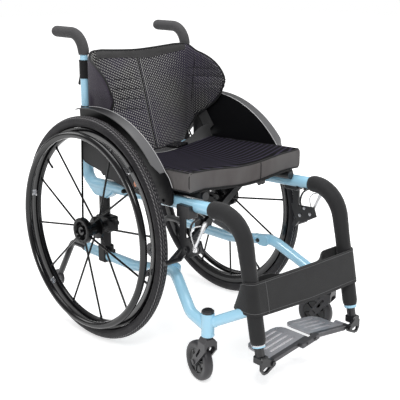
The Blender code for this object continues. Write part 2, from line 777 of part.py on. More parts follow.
def hand_rim(root, side):
    matrix = wheel_matrix()
    profile = circle((HAND_RIM_OFFSET, HAND_RIM_RADIUS), HAND_RIM_TUBE, 6)
    rim = lathe(profile, matrix, WHEEL_SEGMENTS)
    clips = []
    low = rim_seat()[0] - 0.0145
    for i in range(HAND_RIM_CLIPS):
        angle = HAND_RIM_CLIP_START + 2 * math.pi * i / HAND_RIM_CLIPS
        clip = box((RIM_HALF_WIDTH + CLEARANCE, -0.0085, low),
                   (HAND_RIM_OFFSET - 0.004, 0.0085, low + 0.005))
        clip.data.transform(matrix @ Matrix.Rotation(math.pi / 2 - angle, 4, "X"))
        clips.append(clip)
    union(rim, *clips)
    return finish(rim, label(side, "hand_rim"), "black_metal", root, wheel_point(0.0), side)


def axle_pin(root, side):
    pin = sweep([wheel_point(-AXLE_PIN_IN), wheel_point(HUB_OUTER + 0.004)], AXLE_PIN_RADIUS, 12)
    head = sweep([wheel_point(HUB_OUTER + CLEARANCE), wheel_point(HUB_OUTER + 0.0045)], 0.0115, 12)
    union(pin, head)
    cut(pin, sweep([wheel_point(HUB_OUTER - 0.008), wheel_point(HUB_OUTER + 0.02)],
                   BUTTON_RADIUS + CLEARANCE, 12))
    return finish(pin, label(side, "axle_pin"), "steel", root, wheel_point(0.0), side)


def release_button(root, side):
    inner = HUB_OUTER - 0.008 + BUTTON_TRAVEL + 2 * CLEARANCE
    start = wheel_point(inner)
    button = sweep([start, wheel_point(HUB_OUTER + 0.0095)], BUTTON_RADIUS, 12)
    return finish(button, label(side, "release_button"), "steel", root, start, side)


def caster_cap(root, side):
    cap = sweep([(CASTER_X, CASTER_Y, HOUSING_TOP + CLEARANCE), (CASTER_X, CASTER_Y, HOUSING_TOP + 0.006),
                 (CASTER_X, CASTER_Y, HOUSING_TOP + 0.0095)],
                [HOUSING_RADIUS + 0.0012, HOUSING_RADIUS + 0.0012, HOUSING_RADIUS - 0.003])
    return finish(cap, label(side, "caster_cap"), "black_metal", root, side=side)


def caster_turn():
    """Turns a caster about its stem, to where it stands in the rest pose."""
    stem = Vector((CASTER_X, CASTER_Y, 0.0))
    return Matrix.Translation(stem) @ Matrix.Rotation(CASTER_TURN, 4, "Z") @ Matrix.Translation(-stem)


def caster_axle():
    return Vector((CASTER_X, CASTER_Y + CASTER_TRAIL, CASTER_RADIUS))


def fork_crown(inside, outside, low):
    """Arched bridge between the two cheeks, outlined as (x, z) across the wheel."""
    half = [(outside, low - 0.004), (outside, FORK_CROWN - 0.010), (outside - 0.006, FORK_CROWN - 0.002),
            (0.010, FORK_CROWN)]
    under = [(-inside, low - 0.004), (-inside + 0.004, low + 0.002), (inside - 0.004, low + 0.002),
             (inside, low - 0.004)]
    outline = half + [(-x, z) for x, z in half[::-1]] + under
    return prism([(CASTER_X + x, z) for x, z in outline], "y", CASTER_Y - 0.014, CASTER_Y + 0.017)


def caster_fork(root, side):
    inside = CASTER_WIDTH / 2 + 0.0012
    outside = inside + FORK_PLATE
    axle = caster_axle()
    low = 2 * CASTER_RADIUS + 0.004
    crown = fork_crown(inside, outside, low)
    slot_way = Vector((axle.y - CASTER_Y, axle.z - low)).normalized()
    slot_ends = [Vector((CASTER_Y, low)) + slot_way * reach for reach in (0.014, 0.041)]
    angle = math.atan2(slot_way.y, slot_way.x)
    hole = circle(slot_ends[0], FORK_SLOT, 3, angle + math.pi / 2, math.pi, closed=False)
    hole += circle(slot_ends[1], FORK_SLOT, 3, angle - math.pi / 2, math.pi, closed=False)
    plates = []
    for way in (-1, 1):
        outline = [(CASTER_Y - 0.014, low + 0.006), (CASTER_Y - 0.014, low - 0.010)]
        outline += circle((axle.y, axle.z), 0.0105, 6, math.pi * 1.10, math.pi * 0.9, closed=False)
        outline += [(CASTER_Y + 0.018, low - 0.008), (CASTER_Y + 0.017, low + 0.006)]
        near = CASTER_X + way * inside
        far = CASTER_X + way * outside
        plates.append(prism(outline, "x", min(near, far), max(near, far)))
    stem = rod((CASTER_X, CASTER_Y, FORK_CROWN - 0.004), (CASTER_X, CASTER_Y, HOUSING_TOP - 0.001),
               STEM_RADIUS, 12)
    race = rod((CASTER_X, CASTER_Y, FORK_CROWN - 0.002), (CASTER_X, CASTER_Y, HOUSING_BOTTOM - CLEARANCE),
               0.0115, 12)
    reach = Vector((outside + 0.0025, 0.0, 0.0))
    bolt = sweep([axle - reach, axle + reach], CASTER_BOLT, 12)
    grip = Vector((outside - 0.001, 0.0, 0.0))
    heads = [sweep([axle + grip, axle + reach], 0.0065, 6), sweep([axle - reach, axle - grip], 0.0065, 6)]
    union(crown, *plates)
    cut(crown, prism(hole, "x", CASTER_X - 0.05, CASTER_X + 0.05))
    union(crown, stem, race, bolt, *heads)
    crown.data.transform(caster_turn())
    pivot = (CASTER_X, CASTER_Y, HOUSING_BOTTOM)
    return finish(crown, label(side, "caster_fork"), "black_metal", root, pivot, side)


def caster_hub(root, side):
    bore = CASTER_BOLT + CLEARANCE
    half = CASTER_WIDTH / 2
    hub = lathe([(-half, bore), (half, bore), (half, 0.010), (0.007, 0.012), (0.009, CASTER_HUB),
                 (-0.009, CASTER_HUB), (-0.007, 0.012), (-half, 0.010)],
                caster_turn() @ Matrix.Translation(caster_axle()), 12)
    pivot = caster_turn() @ caster_axle()
    return finish(hub, label(side, "caster_hub"), "black_metal", root, pivot, side)


def caster_tyre(root, side):
    half = CASTER_WIDTH / 2
    inner = CASTER_HUB + CLEARANCE
    tyre = lathe([(-half + 0.001, inner), (half - 0.001, inner), (half, 0.042),
                  (half - 0.006, CASTER_RADIUS), (-half + 0.006, CASTER_RADIUS), (-half, 0.042)],
                 caster_turn() @ Matrix.Translation(caster_axle()), 24)
    pivot = caster_turn() @ caster_axle()
    return finish(tyre, label(side, "caster_tyre"), "caster_black", root, pivot, side)


def across_brake(low, high, centre, radius, sides=12):
    """Round bar across the chair through a (y, z) point of the wheel lock."""
    return rod((low, *centre), (high, *centre), radius, sides)


def brake_bracket(root, side):
    low = BRAKE_PLATE_X
    high = BRAKE_PLATE_X + BRAKE_PLATE
    seat_z = seat_tube_z(BRAKE_Y)
    clamp = box((FRAME_X, BRAKE_Y - 0.022, seat_z - 0.0275), (high, BRAKE_Y + 0.022, seat_z + 0.004), 0.002)
    strut = box((low, BRAKE_Y - 0.010, 0.330), (high, BRAKE_Y + 0.010, seat_z - 0.0215))
    plate = prism([(-0.305, 0.344), (-0.384, 0.349), (-0.394, 0.324), (-0.372, 0.312),
                   (-0.350, 0.300), (-0.326, 0.300)], "x", low, high)
    pin_end = high + 0.0083
    pins = [
        across_brake(low + 0.001, pin_end, LEVER_PIVOT, BRAKE_PIN, 10),
        across_brake(low + 0.001, pin_end, SHOE_PIVOT, BRAKE_PIN, 10),
        across_brake(high - 0.001, high + 0.002, (-0.350, 0.340), 0.004, 6),
    ]
    union(clamp, strut, plate, *pins)
    ends = [(FRAME_X, y, seat_tube_z(y)) for y in (BRAKE_Y + 0.05, BRAKE_Y - 0.05)]
    cut(clamp, sweep(ends, TUBE_RADIUS + CLEARANCE))
    return finish(clamp, label(side, "brake_bracket"), "black_metal", root, side=side)


def brake_lever(root, side):
    low = BRAKE_PLATE_X + BRAKE_PLATE + CLEARANCE
    x = low + 0.003
    y, z = LEVER_PIVOT
    hub = across_brake(low, low + 0.006, LEVER_PIVOT, LEVER_HUB)
    bar = sweep([(x, y - 0.002, z + 0.004), (x, y - 0.0255, z + 0.0487),
                 (x, y - 0.0260, z + 0.0497), (x, y - 0.0335, z + 0.064)],
                [0.0030, 0.0030, 0.0046, 0.0046], 8)
    wire = x + 0.0006
    loop = rounded([(wire, y - 0.0005, z + 0.005), (wire, y + 0.015, z + 0.044),
                    (wire, y - 0.019, z + 0.066), (wire, y - 0.061, z + 0.058)], [0.016, 0.028], 3)
    union(hub, bar, sweep(loop, 0.0025, 6))
    cut(hub, across_brake(low - 0.01, low + 0.02, LEVER_PIVOT, BRAKE_PIN + CLEARANCE, 10))
    return finish(hub, label(side, "brake_lever"), "steel", root, (x, y, z), side)


def brake_shoe(root, side):
    low = BRAKE_PLATE_X + BRAKE_PLATE + CLEARANCE
    angle = math.atan2(SHOE_BAR[1] - SHOE_PIVOT[1], SHOE_BAR[0] - SHOE_PIVOT[0])
    outline = circle(SHOE_PIVOT, 0.0075, 6, angle + math.pi / 2, math.pi, closed=False)
    outline += circle(SHOE_BAR, 0.006, 6, angle - math.pi / 2, math.pi, closed=False)
    arm = prism(outline, "x", low, low + 0.005)
    union(arm, across_brake(low + 0.001, SHOE_END_X, SHOE_BAR, SHOE_BAR_RADIUS, 10))
    cut(arm, across_brake(low - 0.01, low + 0.02, SHOE_PIVOT, BRAKE_PIN + CLEARANCE, 10))
    return finish(arm, label(side, "brake_shoe"), "black_metal", root, (low, *SHOE_PIVOT), side)


def foot_bracket(root, side):
    """Insert in the leg, a socket under it and an open link that holds the plate's pin."""
    low = leg_point(FOOT_END_Z)
    way = leg_way()[1]
    insert = sweep([low - way * 0.028, low + way * 0.040], FOOT_INSERT)
    x, z = PLATE_PIVOT_X, PLATE_PIVOT_Z
    face = PLATE_FRONT - CLEARANCE
    front = face - BRACKET_PLATE
    socket = box((LEG_X - 0.0125, front, z + 0.004), (LEG_X + 0.0125, FOOT_END_Y + 0.008, z + 0.024), 0.003)
    link = prism([(x - 0.0085, z), (x - 0.006, z - 0.008), (LEG_X - 0.008, z - 0.020),
                  (LEG_X + 0.004, z - 0.020), (LEG_X + 0.0125, z - 0.008), (LEG_X + 0.0125, z + 0.014),
                  (LEG_X - 0.0125, z + 0.016), (x + 0.006, z + 0.009), (x - 0.005, z + 0.008)],
                 "y", front, face)
    hole = prism([(x + 0.008, z - 0.006), (LEG_X - 0.007, z - 0.0145), (LEG_X + 0.003, z - 0.0145),
                  (LEG_X + 0.0065, z - 0.006), (LEG_X - 0.003, z - 0.002)], "y", front - 0.01, face + 0.01)
    cut(link, hole)
    pin = rod((x, front - 0.003, z), (x, front + 0.050, z), PLATE_PIN, 12)
    head = rod((x, front - 0.0035, z), (x, front + 0.001, z), 0.0065, 6)
    union(insert, socket, link, pin, head)
    return finish(insert, label(side, "foot_bracket"), "black_metal", root, side=side)


def plate_outline(inner, outer):
    """Foot plate seen from above: square in front, rounded behind."""
    corner = PLATE_CORNER
    start = PLATE_FRONT + PLATE_BAR / 2
    inner += CLEARANCE
    outline = [(inner, start), (outer, start)]
    outline += circle((outer - corner, PLATE_REAR - corner), corner, 4, 0.0, math.pi / 2, closed=False)
    outline += circle((inner + corner, PLATE_REAR - corner), corner, 4, math.pi / 2, math.pi / 2,
                      closed=False)
    return outline


def hinge_block(inner, low, high):
    """Middle hinge on the right plate's bar, in front of the left plate."""
    face = PLATE_FRONT - 2 * CLEARANCE
    reach = HINGE_BLOCK_LENGTH - HINGE_BLOCK_REACH
    z = PLATE_PIVOT_Z + 0.001
    return [
        box((-HINGE_BLOCK_REACH, HINGE_BLOCK_FRONT, low + 0.0005), (reach, face, high + 0.004), 0.0015),
        box((inner + 0.003, face - 0.006, low + 0.003), (reach - 0.004, PLATE_FRONT + 0.005, high - 0.001)),
        rod((0.0, HINGE_BLOCK_FRONT - 0.0035, z), (0.0, HINGE_BLOCK_FRONT + 0.004, z), 0.0045, 6),
        rod((0.030, HINGE_BLOCK_FRONT - 0.002, z), (0.030, HINGE_BLOCK_FRONT + 0.004, z), 0.0032, 6),
    ]


def foot_plate(root, side):
    inner = PLATE_PIVOT_X - PLATE_REACH
    outer = PLATE_PIVOT_X - 0.013
    low = PLATE_PIVOT_Z - PLATE_DOWN
    high = PLATE_PIVOT_Z + PLATE_UP
    front = PLATE_FRONT
    plate = prism(plate_outline(inner, outer), "z", high - PLATE_THICKNESS, high)
    bar = box((inner, front, low - 0.003), (outer + 0.004, front + PLATE_BAR, high + 0.001), 0.0015)
    hinge = box((outer - 0.004, front + 0.001, low + 0.001), (PLATE_PIVOT_X, front + 0.039, high - 0.0005))
    eye = rod((PLATE_PIVOT_X, front, PLATE_PIVOT_Z), (PLATE_PIVOT_X, front + 0.040, PLATE_PIVOT_Z),
              PLATE_EYE, 12)
    union(plate, bar, hinge, eye, *(hinge_block(inner, low - 0.002, high) if side < 0 else ()))
    slots = [sweep([(PLATE_PIVOT_X, front + way, PLATE_PIVOT_Z) for way in (-0.01, 0.060)],
                   PLATE_PIN + CLEARANCE, 12)]
    for i in range(PLATE_SLOTS):
        y = PLATE_REAR - 0.016 - PLATE_SLOT_PITCH * i
        half = PLATE_SLOT_HALF
        outline = circle((inner + 0.024, y), half, 3, math.pi / 2, math.pi, closed=False)
        outline += circle((outer - 0.020, y), half, 3, -math.pi / 2, math.pi, closed=False)
        slots.append(prism(outline, "z", low - 0.01, high + 0.01))
    cut(plate, *slots)
    pivot = Vector((PLATE_PIVOT_X, PLATE_PIVOT_Y, PLATE_PIVOT_Z))
    turn = Matrix.Translation(pivot) @ Matrix.Rotation(PLATE_TILT, 4, "Y") @ Matrix.Translation(-pivot)
    plate.data.transform(turn)
    return finish(plate, label(side, "foot_plate"), "plate_silver", root, pivot, side)


def anti_tip_tube(root, side):
    path = rounded([(FRAME_X, TIPPER_START_Y, RAIL_REAR_Z), (FRAME_X, TIPPER_BEND_Y, RAIL_REAR_Z),
                    (FRAME_X, TIPPER_END_Y, TIPPER_END_Z)], [0.030], 3)
    tube = sweep(path, TIPPER_RADIUS)
    collar = rod((FRAME_X, RAIL_REAR_Y + CLEARANCE, RAIL_REAR_Z),
                 (FRAME_X, RAIL_REAR_Y + 0.016, RAIL_REAR_Z), 0.0128)
    way = Vector((0.0, TIPPER_END_Y - TIPPER_BEND_Y, TIPPER_END_Z - RAIL_REAR_Z)).normalized()
    end = Vector((FRAME_X, TIPPER_END_Y, TIPPER_END_Z))
    slot = TIPPER_WHEEL + 0.002
    cheeks = [sweep([(FRAME_X + k * 0.0066, end.y - way.y * 0.038, end.z - way.z * 0.038),
                     (FRAME_X + k * 0.0090, *end.yz)], 0.0022, 6) for k in (-1, 1)]
    bolt = rod((FRAME_X - 0.0115, *end.yz), (FRAME_X + 0.0115, *end.yz), 0.003, 10)
    cut(tube, rod((FRAME_X - 0.02, *end.yz), (FRAME_X + 0.02, *end.yz), slot, 16))
    union(tube, collar, *cheeks, bolt)
    pivot = (FRAME_X, RAIL_REAR_Y, RAIL_REAR_Z)
    return finish(tube, label(side, "anti_tip_tube"), "black_metal", root, pivot, side)


def anti_tip_wheel(root, side):
    centre = Vector((FRAME_X, TIPPER_END_Y, TIPPER_END_Z))
    wheel = lathe([(-0.0055, 0.0033), (0.0055, 0.0033), (0.0055, TIPPER_WHEEL - 0.003),
                   (0.003, TIPPER_WHEEL), (-0.003, TIPPER_WHEEL), (-0.0055, TIPPER_WHEEL - 0.003)],
                  Matrix.Translation(centre), 14)
    return finish(wheel, label(side, "anti_tip_wheel"), "caster_black", root, centre, side)


def seat_top(y):
    """Underside of the cushion over the sling."""
    return seat_rail_z(y) + SEAT_RAIL_RADIUS + CLEARANCE + SLING_THICKNESS + CLEARANCE


def seat_cushion(root):
    soft = 0.007
    line = []
    for y, low, high in (
        (CUSHION_FRONT, soft, soft), (CUSHION_FRONT + soft, 0.0, 0.0),
        (CUSHION_REAR - soft, 0.0, 0.0), (CUSHION_REAR, soft, soft),
    ):
        line.append((y, seat_top(y) + low, seat_top(y) + CUSHION_THICKNESS - high))
    outline = [(y, low) for y, low, high in line] + [(y, high) for y, low, high in line[::-1]]
    cushion = prism(outline, "x", -CUSHION_HALF_WIDTH, CUSHION_HALF_WIDTH)
    return finish(cushion, "seat_cushion", "fabric_black", root)


def seat_sling(root):
    y0 = SEAT_RAIL_FRONT + 0.004
    y1 = SEAT_RAIL_REAR - 0.004
    gap = SEAT_RAIL_RADIUS + CLEARANCE
    top = gap + SLING_THICKNESS
    bm = bmesh.new()
    side = PIVOT_X + gap
    section = [
        (-side - 0.002, -0.003), (-side, -0.003), (-side, gap), (side, gap), (side, -0.003),
        (side + 0.002, -0.003), (side + 0.002, top), (-side - 0.002, top),
    ]
    loops = [[bm.verts.new((x, y, seat_rail_z(y) + z)) for x, z in section] for y in (y0, y1)]
    count = len(section)
    for i in range(count):
        j = (i + 1) % count
        bm.faces.new((loops[0][i], loops[0][j], loops[1][j], loops[1][i]))
    for loop in loops:
        bm.faces.new(loop)
    return finish(to_object(bm), "seat_sling", "fabric_black", root)


def back_half_line(z):
    """Mid-line of the back at a height as (x, y), from the middle to the wing's front edge."""
    middle = min(0.093 + 0.31 * (z - 0.71), 0.100)
    corner = UPRIGHT_Y - CANE_RADIUS - 0.007
    points = [(0.0, middle)]
    for share in BACK_STATIONS:
        x = (FRAME_X - 0.021) * share
        points.append((x, middle + (corner - middle) * share ** 2))
    wing_x = WING_X - WING_TUCK * (1.0 - min(1.0, max(0.0, (z - WING_CLEAR_Z) / 0.030)))
    points += [(FRAME_X - 0.017, corner), (FRAME_X, corner - 0.002)]
    points.append((wing_x - 0.008, corner - 0.014))
    for share in WING_STATIONS:
        points.append((wing_x - 0.003 + 0.003 * share, corner - WING_REACH * share))
    return points


def back_edges(column, x):
    """Heights of the lower and upper hem at a column of the back's mid-line."""
    lift = BACK_HEM_LIFT * min(1.0, (x / FRAME_X) ** 2)
    low = BACK_BOTTOM + lift
    high = BACK_TOP - BACK_HEM_DROP * min(1.0, (x / FRAME_X) ** 2)
    wing = WING_STATIONS[column - len(BACK_STATIONS) - 4] if column > len(BACK_STATIONS) + 3 else 0.0
    top = WING_TIP_Z + (high - WING_TIP_Z) * math.sqrt(1.0 - wing ** 1.3)
    bottom = WING_TIP_Z + (low - WING_TIP_Z) * math.sqrt(1.0 - wing ** 1.1)
    return bottom, max(top, bottom + 0.006)


def offset_line(line, distance):
    """Moves a line of (x, y) points sideways by a distance."""
    moved = []
    for i, (x, y) in enumerate(line):
        before = line[max(i - 1, 0)]
        after = line[min(i + 1, len(line) - 1)]
        way = Vector((after[0] - before[0], after[1] - before[1])).normalized()
        moved.append((x - way.y * distance, y + way.x * distance))
    return moved


def back_column(column, offset):
    """Points up the back at one place along its mid-line."""
    points = []
    x = back_half_line(BACK_TOP)[column][0]
    low, high = back_edges(column, x)
    for i in range(BACK_ROWS):
        z = low + (high - low) * i / (BACK_ROWS - 1)
        line = back_half_line(z)
        x, y = offset_line([(-line[1][0], line[1][1])] + line, offset)[column + 1]
        points.append((0.0 if column == 0 else x, y, z))
    return points


def backrest_shell():
    """Curved sheet with wings, as one closed skin of a front and a rear layer."""
    bm = bmesh.new()
    count = len(back_half_line(BACK_TOP))
    layers = []
    for way in (-1, 1):
        columns = [back_column(column, way * BACK_THICKNESS / 2) for column in range(count)]
        columns = [[(-x, y, z) for x, y, z in c] for c in columns[:0:-1]] + columns
        layers.append([[bm.verts.new(point) for point in column] for column in columns])
    for layer in layers:
        for low, high in zip(layer, layer[1:]):
            for j in range(len(low) - 1):
                bm.faces.new((low[j], low[j + 1], high[j + 1], high[j]))
    front, rear = layers
    rims = [(front[0], rear[0]), (front[-1], rear[-1])]
    for end in (0, -1):
        rims.append(([row[end] for row in front], [row[end] for row in rear]))
    for near, far in rims:
        for j in range(len(near) - 1):
            bm.faces.new((near[j], near[j + 1], far[j + 1], far[j]))
    return to_object(bm)


def backrest(root):
    back = backrest_shell()
    loops = []
    for side in (-1, 1):
        x = FRAME_X * side
        loops.append(sweep([(x, UPRIGHT_Y, z) for z in BACK_LOOP], CANE_RADIUS + 0.0062))
    union(back, *loops)
    cut(back, *[rod((FRAME_X * s, UPRIGHT_Y, 0.60), (FRAME_X * s, UPRIGHT_Y, 0.76),
                    CANE_RADIUS + CLEARANCE) for s in (-1, 1)])
    return finish(back, "backrest", "fabric_black", root)


def ribbon(points, normals, width_way, width, thickness):
    """Flat strap: rectangular section along points, with given face normals."""
    bm = bmesh.new()
    loops = []
    across = Vector(width_way).normalized() * (width / 2)
    for point, normal in zip(points, normals):
        lift = Vector(normal).normalized() * (thickness / 2)
        point = Vector(point)
        loops.append([bm.verts.new(point + a + b) for a, b in
                      ((-across, -lift), (across, -lift), (across, lift), (-across, lift))])
    for near, far in zip(loops, loops[1:]):
        for i in range(4):
            j = (i + 1) % 4
            bm.faces.new((near[i], near[j], far[j], far[i]))
    bm.faces.new(loops[0])
    bm.faces.new(loops[-1])
    return to_object(bm)


def lap_belt(root):
    """Webbing that lies across the back of the cushion and rises at its left end."""
    def top(y):
        return seat_top(y) + CUSHION_THICKNESS + BELT_THICKNESS / 2 + CLEARANCE

    line = [(-0.83, -0.012), (-0.55, -0.035), (-0.22, -0.050), (0.11, -0.055), (0.44, -0.045),
            (0.72, -0.020)]
    points = [(x * FRAME_X, y, top(y)) for x, y in line]
    normals = [(0.0, SEAT_SLOPE, 1.0)] * len(points)
    points += [(FRAME_X - 0.023, 0.000, top(0.0) + 0.010), (FRAME_X - 0.005, 0.014, top(0.0) + 0.036)]
    normals += [(-0.5, 0.0, 0.85), (-0.9, 0.0, 0.4)]
    belt = ribbon(points, normals, (0.05, 1.0, -SEAT_SLOPE), BELT_WIDTH, BELT_THICKNESS)
    return finish(belt, "lap_belt", "fabric_black", root)


def calf_strap(root):
    """Loop round both legs, snug at its top and hanging wider behind at its foot."""
    middle = (STRAP_TOP + STRAP_BOTTOM) / 2
    centre = leg_point(middle)
    radius = SLEEVE_LEG_RADIUS + CLEARANCE + 0.0004
    count = TUBE_SIDES // 2 + 1
    outer = []
    inner = []
    for offset, line in ((STRAP_THICKNESS, outer), (0.0, inner)):
        reach = radius / math.cos(math.pi / TUBE_SIDES) + offset
        line += circle((LEG_X, 0.0), reach, count, -math.pi / 2, math.pi, closed=False)
        line += circle((-LEG_X, 0.0), reach, count, math.pi / 2, math.pi, closed=False)
    bm = bmesh.new()
    tilt = leg_way()[1]
    stretch = -1.0 / tilt.z
    half = (STRAP_TOP - STRAP_BOTTOM) / 2
    rings_made = []
    for line in (outer, inner):
        for way in (-1, 1):
            shift = Vector((0.0, centre.y, middle)) - tilt * (way * half)
            flare = STRAP_FLARE if way < 0 else 0.0
            ring = []
            for x, y in line:
                back = flare * max(0.0, y / radius)
                ring.append(bm.verts.new(Vector((x, y * stretch + back, 0.0)) + shift))
            rings_made.append(ring)
    low_out, high_out, low_in, high_in = rings_made
    total = len(outer)
    for i in range(total):
        j = (i + 1) % total
        bm.faces.new((low_out[i], low_out[j], high_out[j], high_out[i]))
        bm.faces.new((low_in[i], high_in[i], high_in[j], low_in[j]))
        bm.faces.new((low_out[i], low_in[i], low_in[j], low_out[j]))
        bm.faces.new((high_out[i], high_out[j], high_in[j], high_in[i]))
    strap = to_object(bm)
    near, far = strut_ends()
    struts = []
    for side in (-1, 1):
        a = Vector((near.x * side, near.y, near.z))
        b = Vector((far.x * side, far.y, far.z))
        struts.append(sweep([a, b], STRUT_RADIUS + CLEARANCE, 12))
    cut(strap, *struts)
    return finish(strap, "calf_strap", "fabric_black", root)


def build():
    clear_scene()
    root = bpy.data.objects.new("wheelchair", None)
    bpy.context.scene.collection.objects.link(root)
    root.location = (0.0, -(WHEEL_RADIUS + HINGE_BLOCK_FRONT - 0.0035) / 2, 0.0)
    pieces = (
        side_frame, lower_frame, leg_sleeve, cross_member, rail_rest, axle_post, axle_clamp,
        back_cane, push_grip, side_guard, rear_tyre, rear_rim, spoked_hub, hand_rim, axle_pin,
        release_button, caster_cap, caster_fork, caster_hub, caster_tyre, brake_bracket, brake_lever,
        brake_shoe, foot_bracket, foot_plate, anti_tip_tube, anti_tip_wheel,
    )
    for side in (1, -1):
        for piece in pieces:
            piece(root, side)
    cross_pivot_bolt(root)
    seat_sling(root)
    seat_cushion(root)
    backrest(root)
    lap_belt(root)
    calf_strap(root)


build()
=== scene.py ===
import json
import math

import bmesh
import bpy
import numpy as np
from mathutils import Matrix, Vector
from mathutils.bvhtree import BVHTree


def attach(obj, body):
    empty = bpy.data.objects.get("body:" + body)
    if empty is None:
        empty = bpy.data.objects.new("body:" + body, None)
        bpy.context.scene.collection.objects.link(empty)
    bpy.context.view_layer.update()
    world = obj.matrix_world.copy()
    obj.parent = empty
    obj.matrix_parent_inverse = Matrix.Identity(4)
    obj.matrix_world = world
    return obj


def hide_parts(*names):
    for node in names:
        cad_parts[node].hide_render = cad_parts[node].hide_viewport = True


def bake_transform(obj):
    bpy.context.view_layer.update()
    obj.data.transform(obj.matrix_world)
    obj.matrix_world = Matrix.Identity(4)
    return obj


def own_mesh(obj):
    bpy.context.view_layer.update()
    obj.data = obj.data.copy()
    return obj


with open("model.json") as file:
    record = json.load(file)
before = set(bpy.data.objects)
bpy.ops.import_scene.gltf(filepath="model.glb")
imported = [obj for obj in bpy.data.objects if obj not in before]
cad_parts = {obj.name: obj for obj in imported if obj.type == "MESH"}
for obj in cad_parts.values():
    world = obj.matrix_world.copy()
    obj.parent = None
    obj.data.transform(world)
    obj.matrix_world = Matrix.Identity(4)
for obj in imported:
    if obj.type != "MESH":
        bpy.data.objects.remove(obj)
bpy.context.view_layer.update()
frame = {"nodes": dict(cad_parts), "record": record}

# Metres. Shapes are worked out with the rear axle at y = 0 and moved to the frame's place by
# AXLE_Y. +X is the sitter's left, -Y the front. "left" and "right" are the sitter's.

NODES = frame["nodes"]

WHEEL_RADIUS = 0.3
FRONT_END = -0.577
AXLE_Y = -(WHEEL_RADIUS + FRONT_END) / 2
FRAME_X = 0.181
LEG_X = 0.1745
TUBE_RADIUS = 0.016
UPRIGHT_Y = 0.096
UPRIGHT_TOP = 0.47
SEAT_SLOPE = 0.047
TAPER_Y = -0.398
KNEE_Y = -0.4835
FOOT_END = (-0.5442, 0.122)
CANE_RADIUS = 0.0112
CANE_BEND = 0.053
GRIP_Z = 0.801
SEAT_TUBE_Z = 0.4045
SEAT_RAIL_X = 0.155
SEAT_RAIL_Z = 0.424
SEAT_RAIL_RADIUS = 0.011
SLING_THICKNESS = 0.0026
CLEARANCE = 0.0006
SEAT_SAG = 0.011
SAG_REACH = 0.165
ARM_Y = -0.198
WHEEL_X = 0.2445
CAMBER = math.radians(1.0)
AXLE_HEIGHT = 0.29996


def clamp(value):
    return min(1.0, max(0.0, value))


def seat_tube_z(y):
    return SEAT_TUBE_Z - SEAT_SLOPE * y


def seat_rail_z(y):
    return SEAT_RAIL_Z - SEAT_SLOPE * y


def seat_top(y):
    """Underside of the cushion, over the rails and the sling."""
    return seat_rail_z(y) + SEAT_RAIL_RADIUS + SLING_THICKNESS + CLEARANCE


def seat_sag(x):
    """How far the cloth between the seat rails hangs down under the cushion."""
    return SEAT_SAG * 0.5 * (1.0 + math.cos(math.pi * min(1.0, abs(x) / SAG_REACH)))


def leg_point(z, x=LEG_X):
    top = Vector((x, KNEE_Y, seat_tube_z(KNEE_Y)))
    way = (Vector((x, *FOOT_END)) - top).normalized()
    return top + way * ((z - top.z) / way.z)


def leg_way():
    return (leg_point(0.1) - leg_point(0.3)).normalized()


def shift(obj):
    obj.data.transform(Matrix.Translation((0.0, AXLE_Y, 0.0)))
    return obj


def to_object(bm, name, smooth=40.0):
    bmesh.ops.recalc_face_normals(bm, faces=bm.faces)
    mesh = bpy.data.meshes.new(name)
    bm.to_mesh(mesh)
    bm.free()
    obj = bpy.data.objects.new(name, mesh)
    bpy.context.scene.collection.objects.link(obj)
    mesh.polygons.foreach_set("use_smooth", [True] * len(mesh.polygons))
    mesh.set_sharp_from_angle(angle=math.radians(smooth))
    return obj


def mirror(mesh):
    mesh.transform(Matrix.Diagonal((-1.0, 1.0, 1.0, 1.0)))
    mesh.flip_normals()


def both_ways(half):
    """A profile of (along, radius) pairs followed by its mirror image."""
    return half + [(-u, r) for u, r in half[::-1]]


def grid_faces(bm, rows, closed=False):
    for low, high in zip(rows, rows[1:]):
        count = len(low) if closed else len(low) - 1
        for j in range(count):
            k = (j + 1) % len(low)
            bm.faces.new((low[j], low[k], high[k], high[j]))


def tube(name, path, radius, sides=16, closed=False, smooth=40.0):
    """Round section swept along a path; radius may be a list."""
    path = [Vector(p) for p in path]
    count = len(path)
    radii = radius if isinstance(radius, (list, tuple)) else [radius] * count
    bm = bmesh.new()
    rows = []
    across = None
    for i, point in enumerate(path):
        before = path[i - 1] if (i > 0 or closed) else path[i]
        after = path[(i + 1) % count] if (i < count - 1 or closed) else path[i]
        way = (after - before).normalized()
        if across is None:
            across = Vector((0.0, 0.0, 1.0) if abs(way.z) < 0.9 else (0.0, 1.0, 0.0))
        across = (across - way * across.dot(way)).normalized()
        other = way.cross(across)
        rows.append([
            bm.verts.new(point + (across * math.cos(a) + other * math.sin(a)) * radii[i])
            for a in (2 * math.pi * k / sides for k in range(sides))
        ])
    grid_faces(bm, rows + rows[:1] if closed else rows, closed=True)
    if not closed:
        bm.faces.new(rows[0])
        bm.faces.new(rows[-1])
    return to_object(bm, name, smooth)


def rounded(points, radii, steps=8):
    points = [Vector(p) for p in points]
    path = [points[0]]
    for before, corner, after, radius in zip(points, points[1:], points[2:], radii):
        into = (before - corner).normalized()
        out = (after - corner).normalized()
        opening = into.angle(out)
        start = corner + into * (radius / math.tan(opening / 2))
        centre = corner + (into + out).normalized() * (radius / math.sin(opening / 2))
        spoke = start - centre
        normal = into.cross(out)
        for i in range(steps + 1):
            turn = -(math.pi - opening) * i / steps
            path.append(centre + Matrix.Rotation(turn, 3, normal) @ spoke)
    path.append(points[-1])
    return path


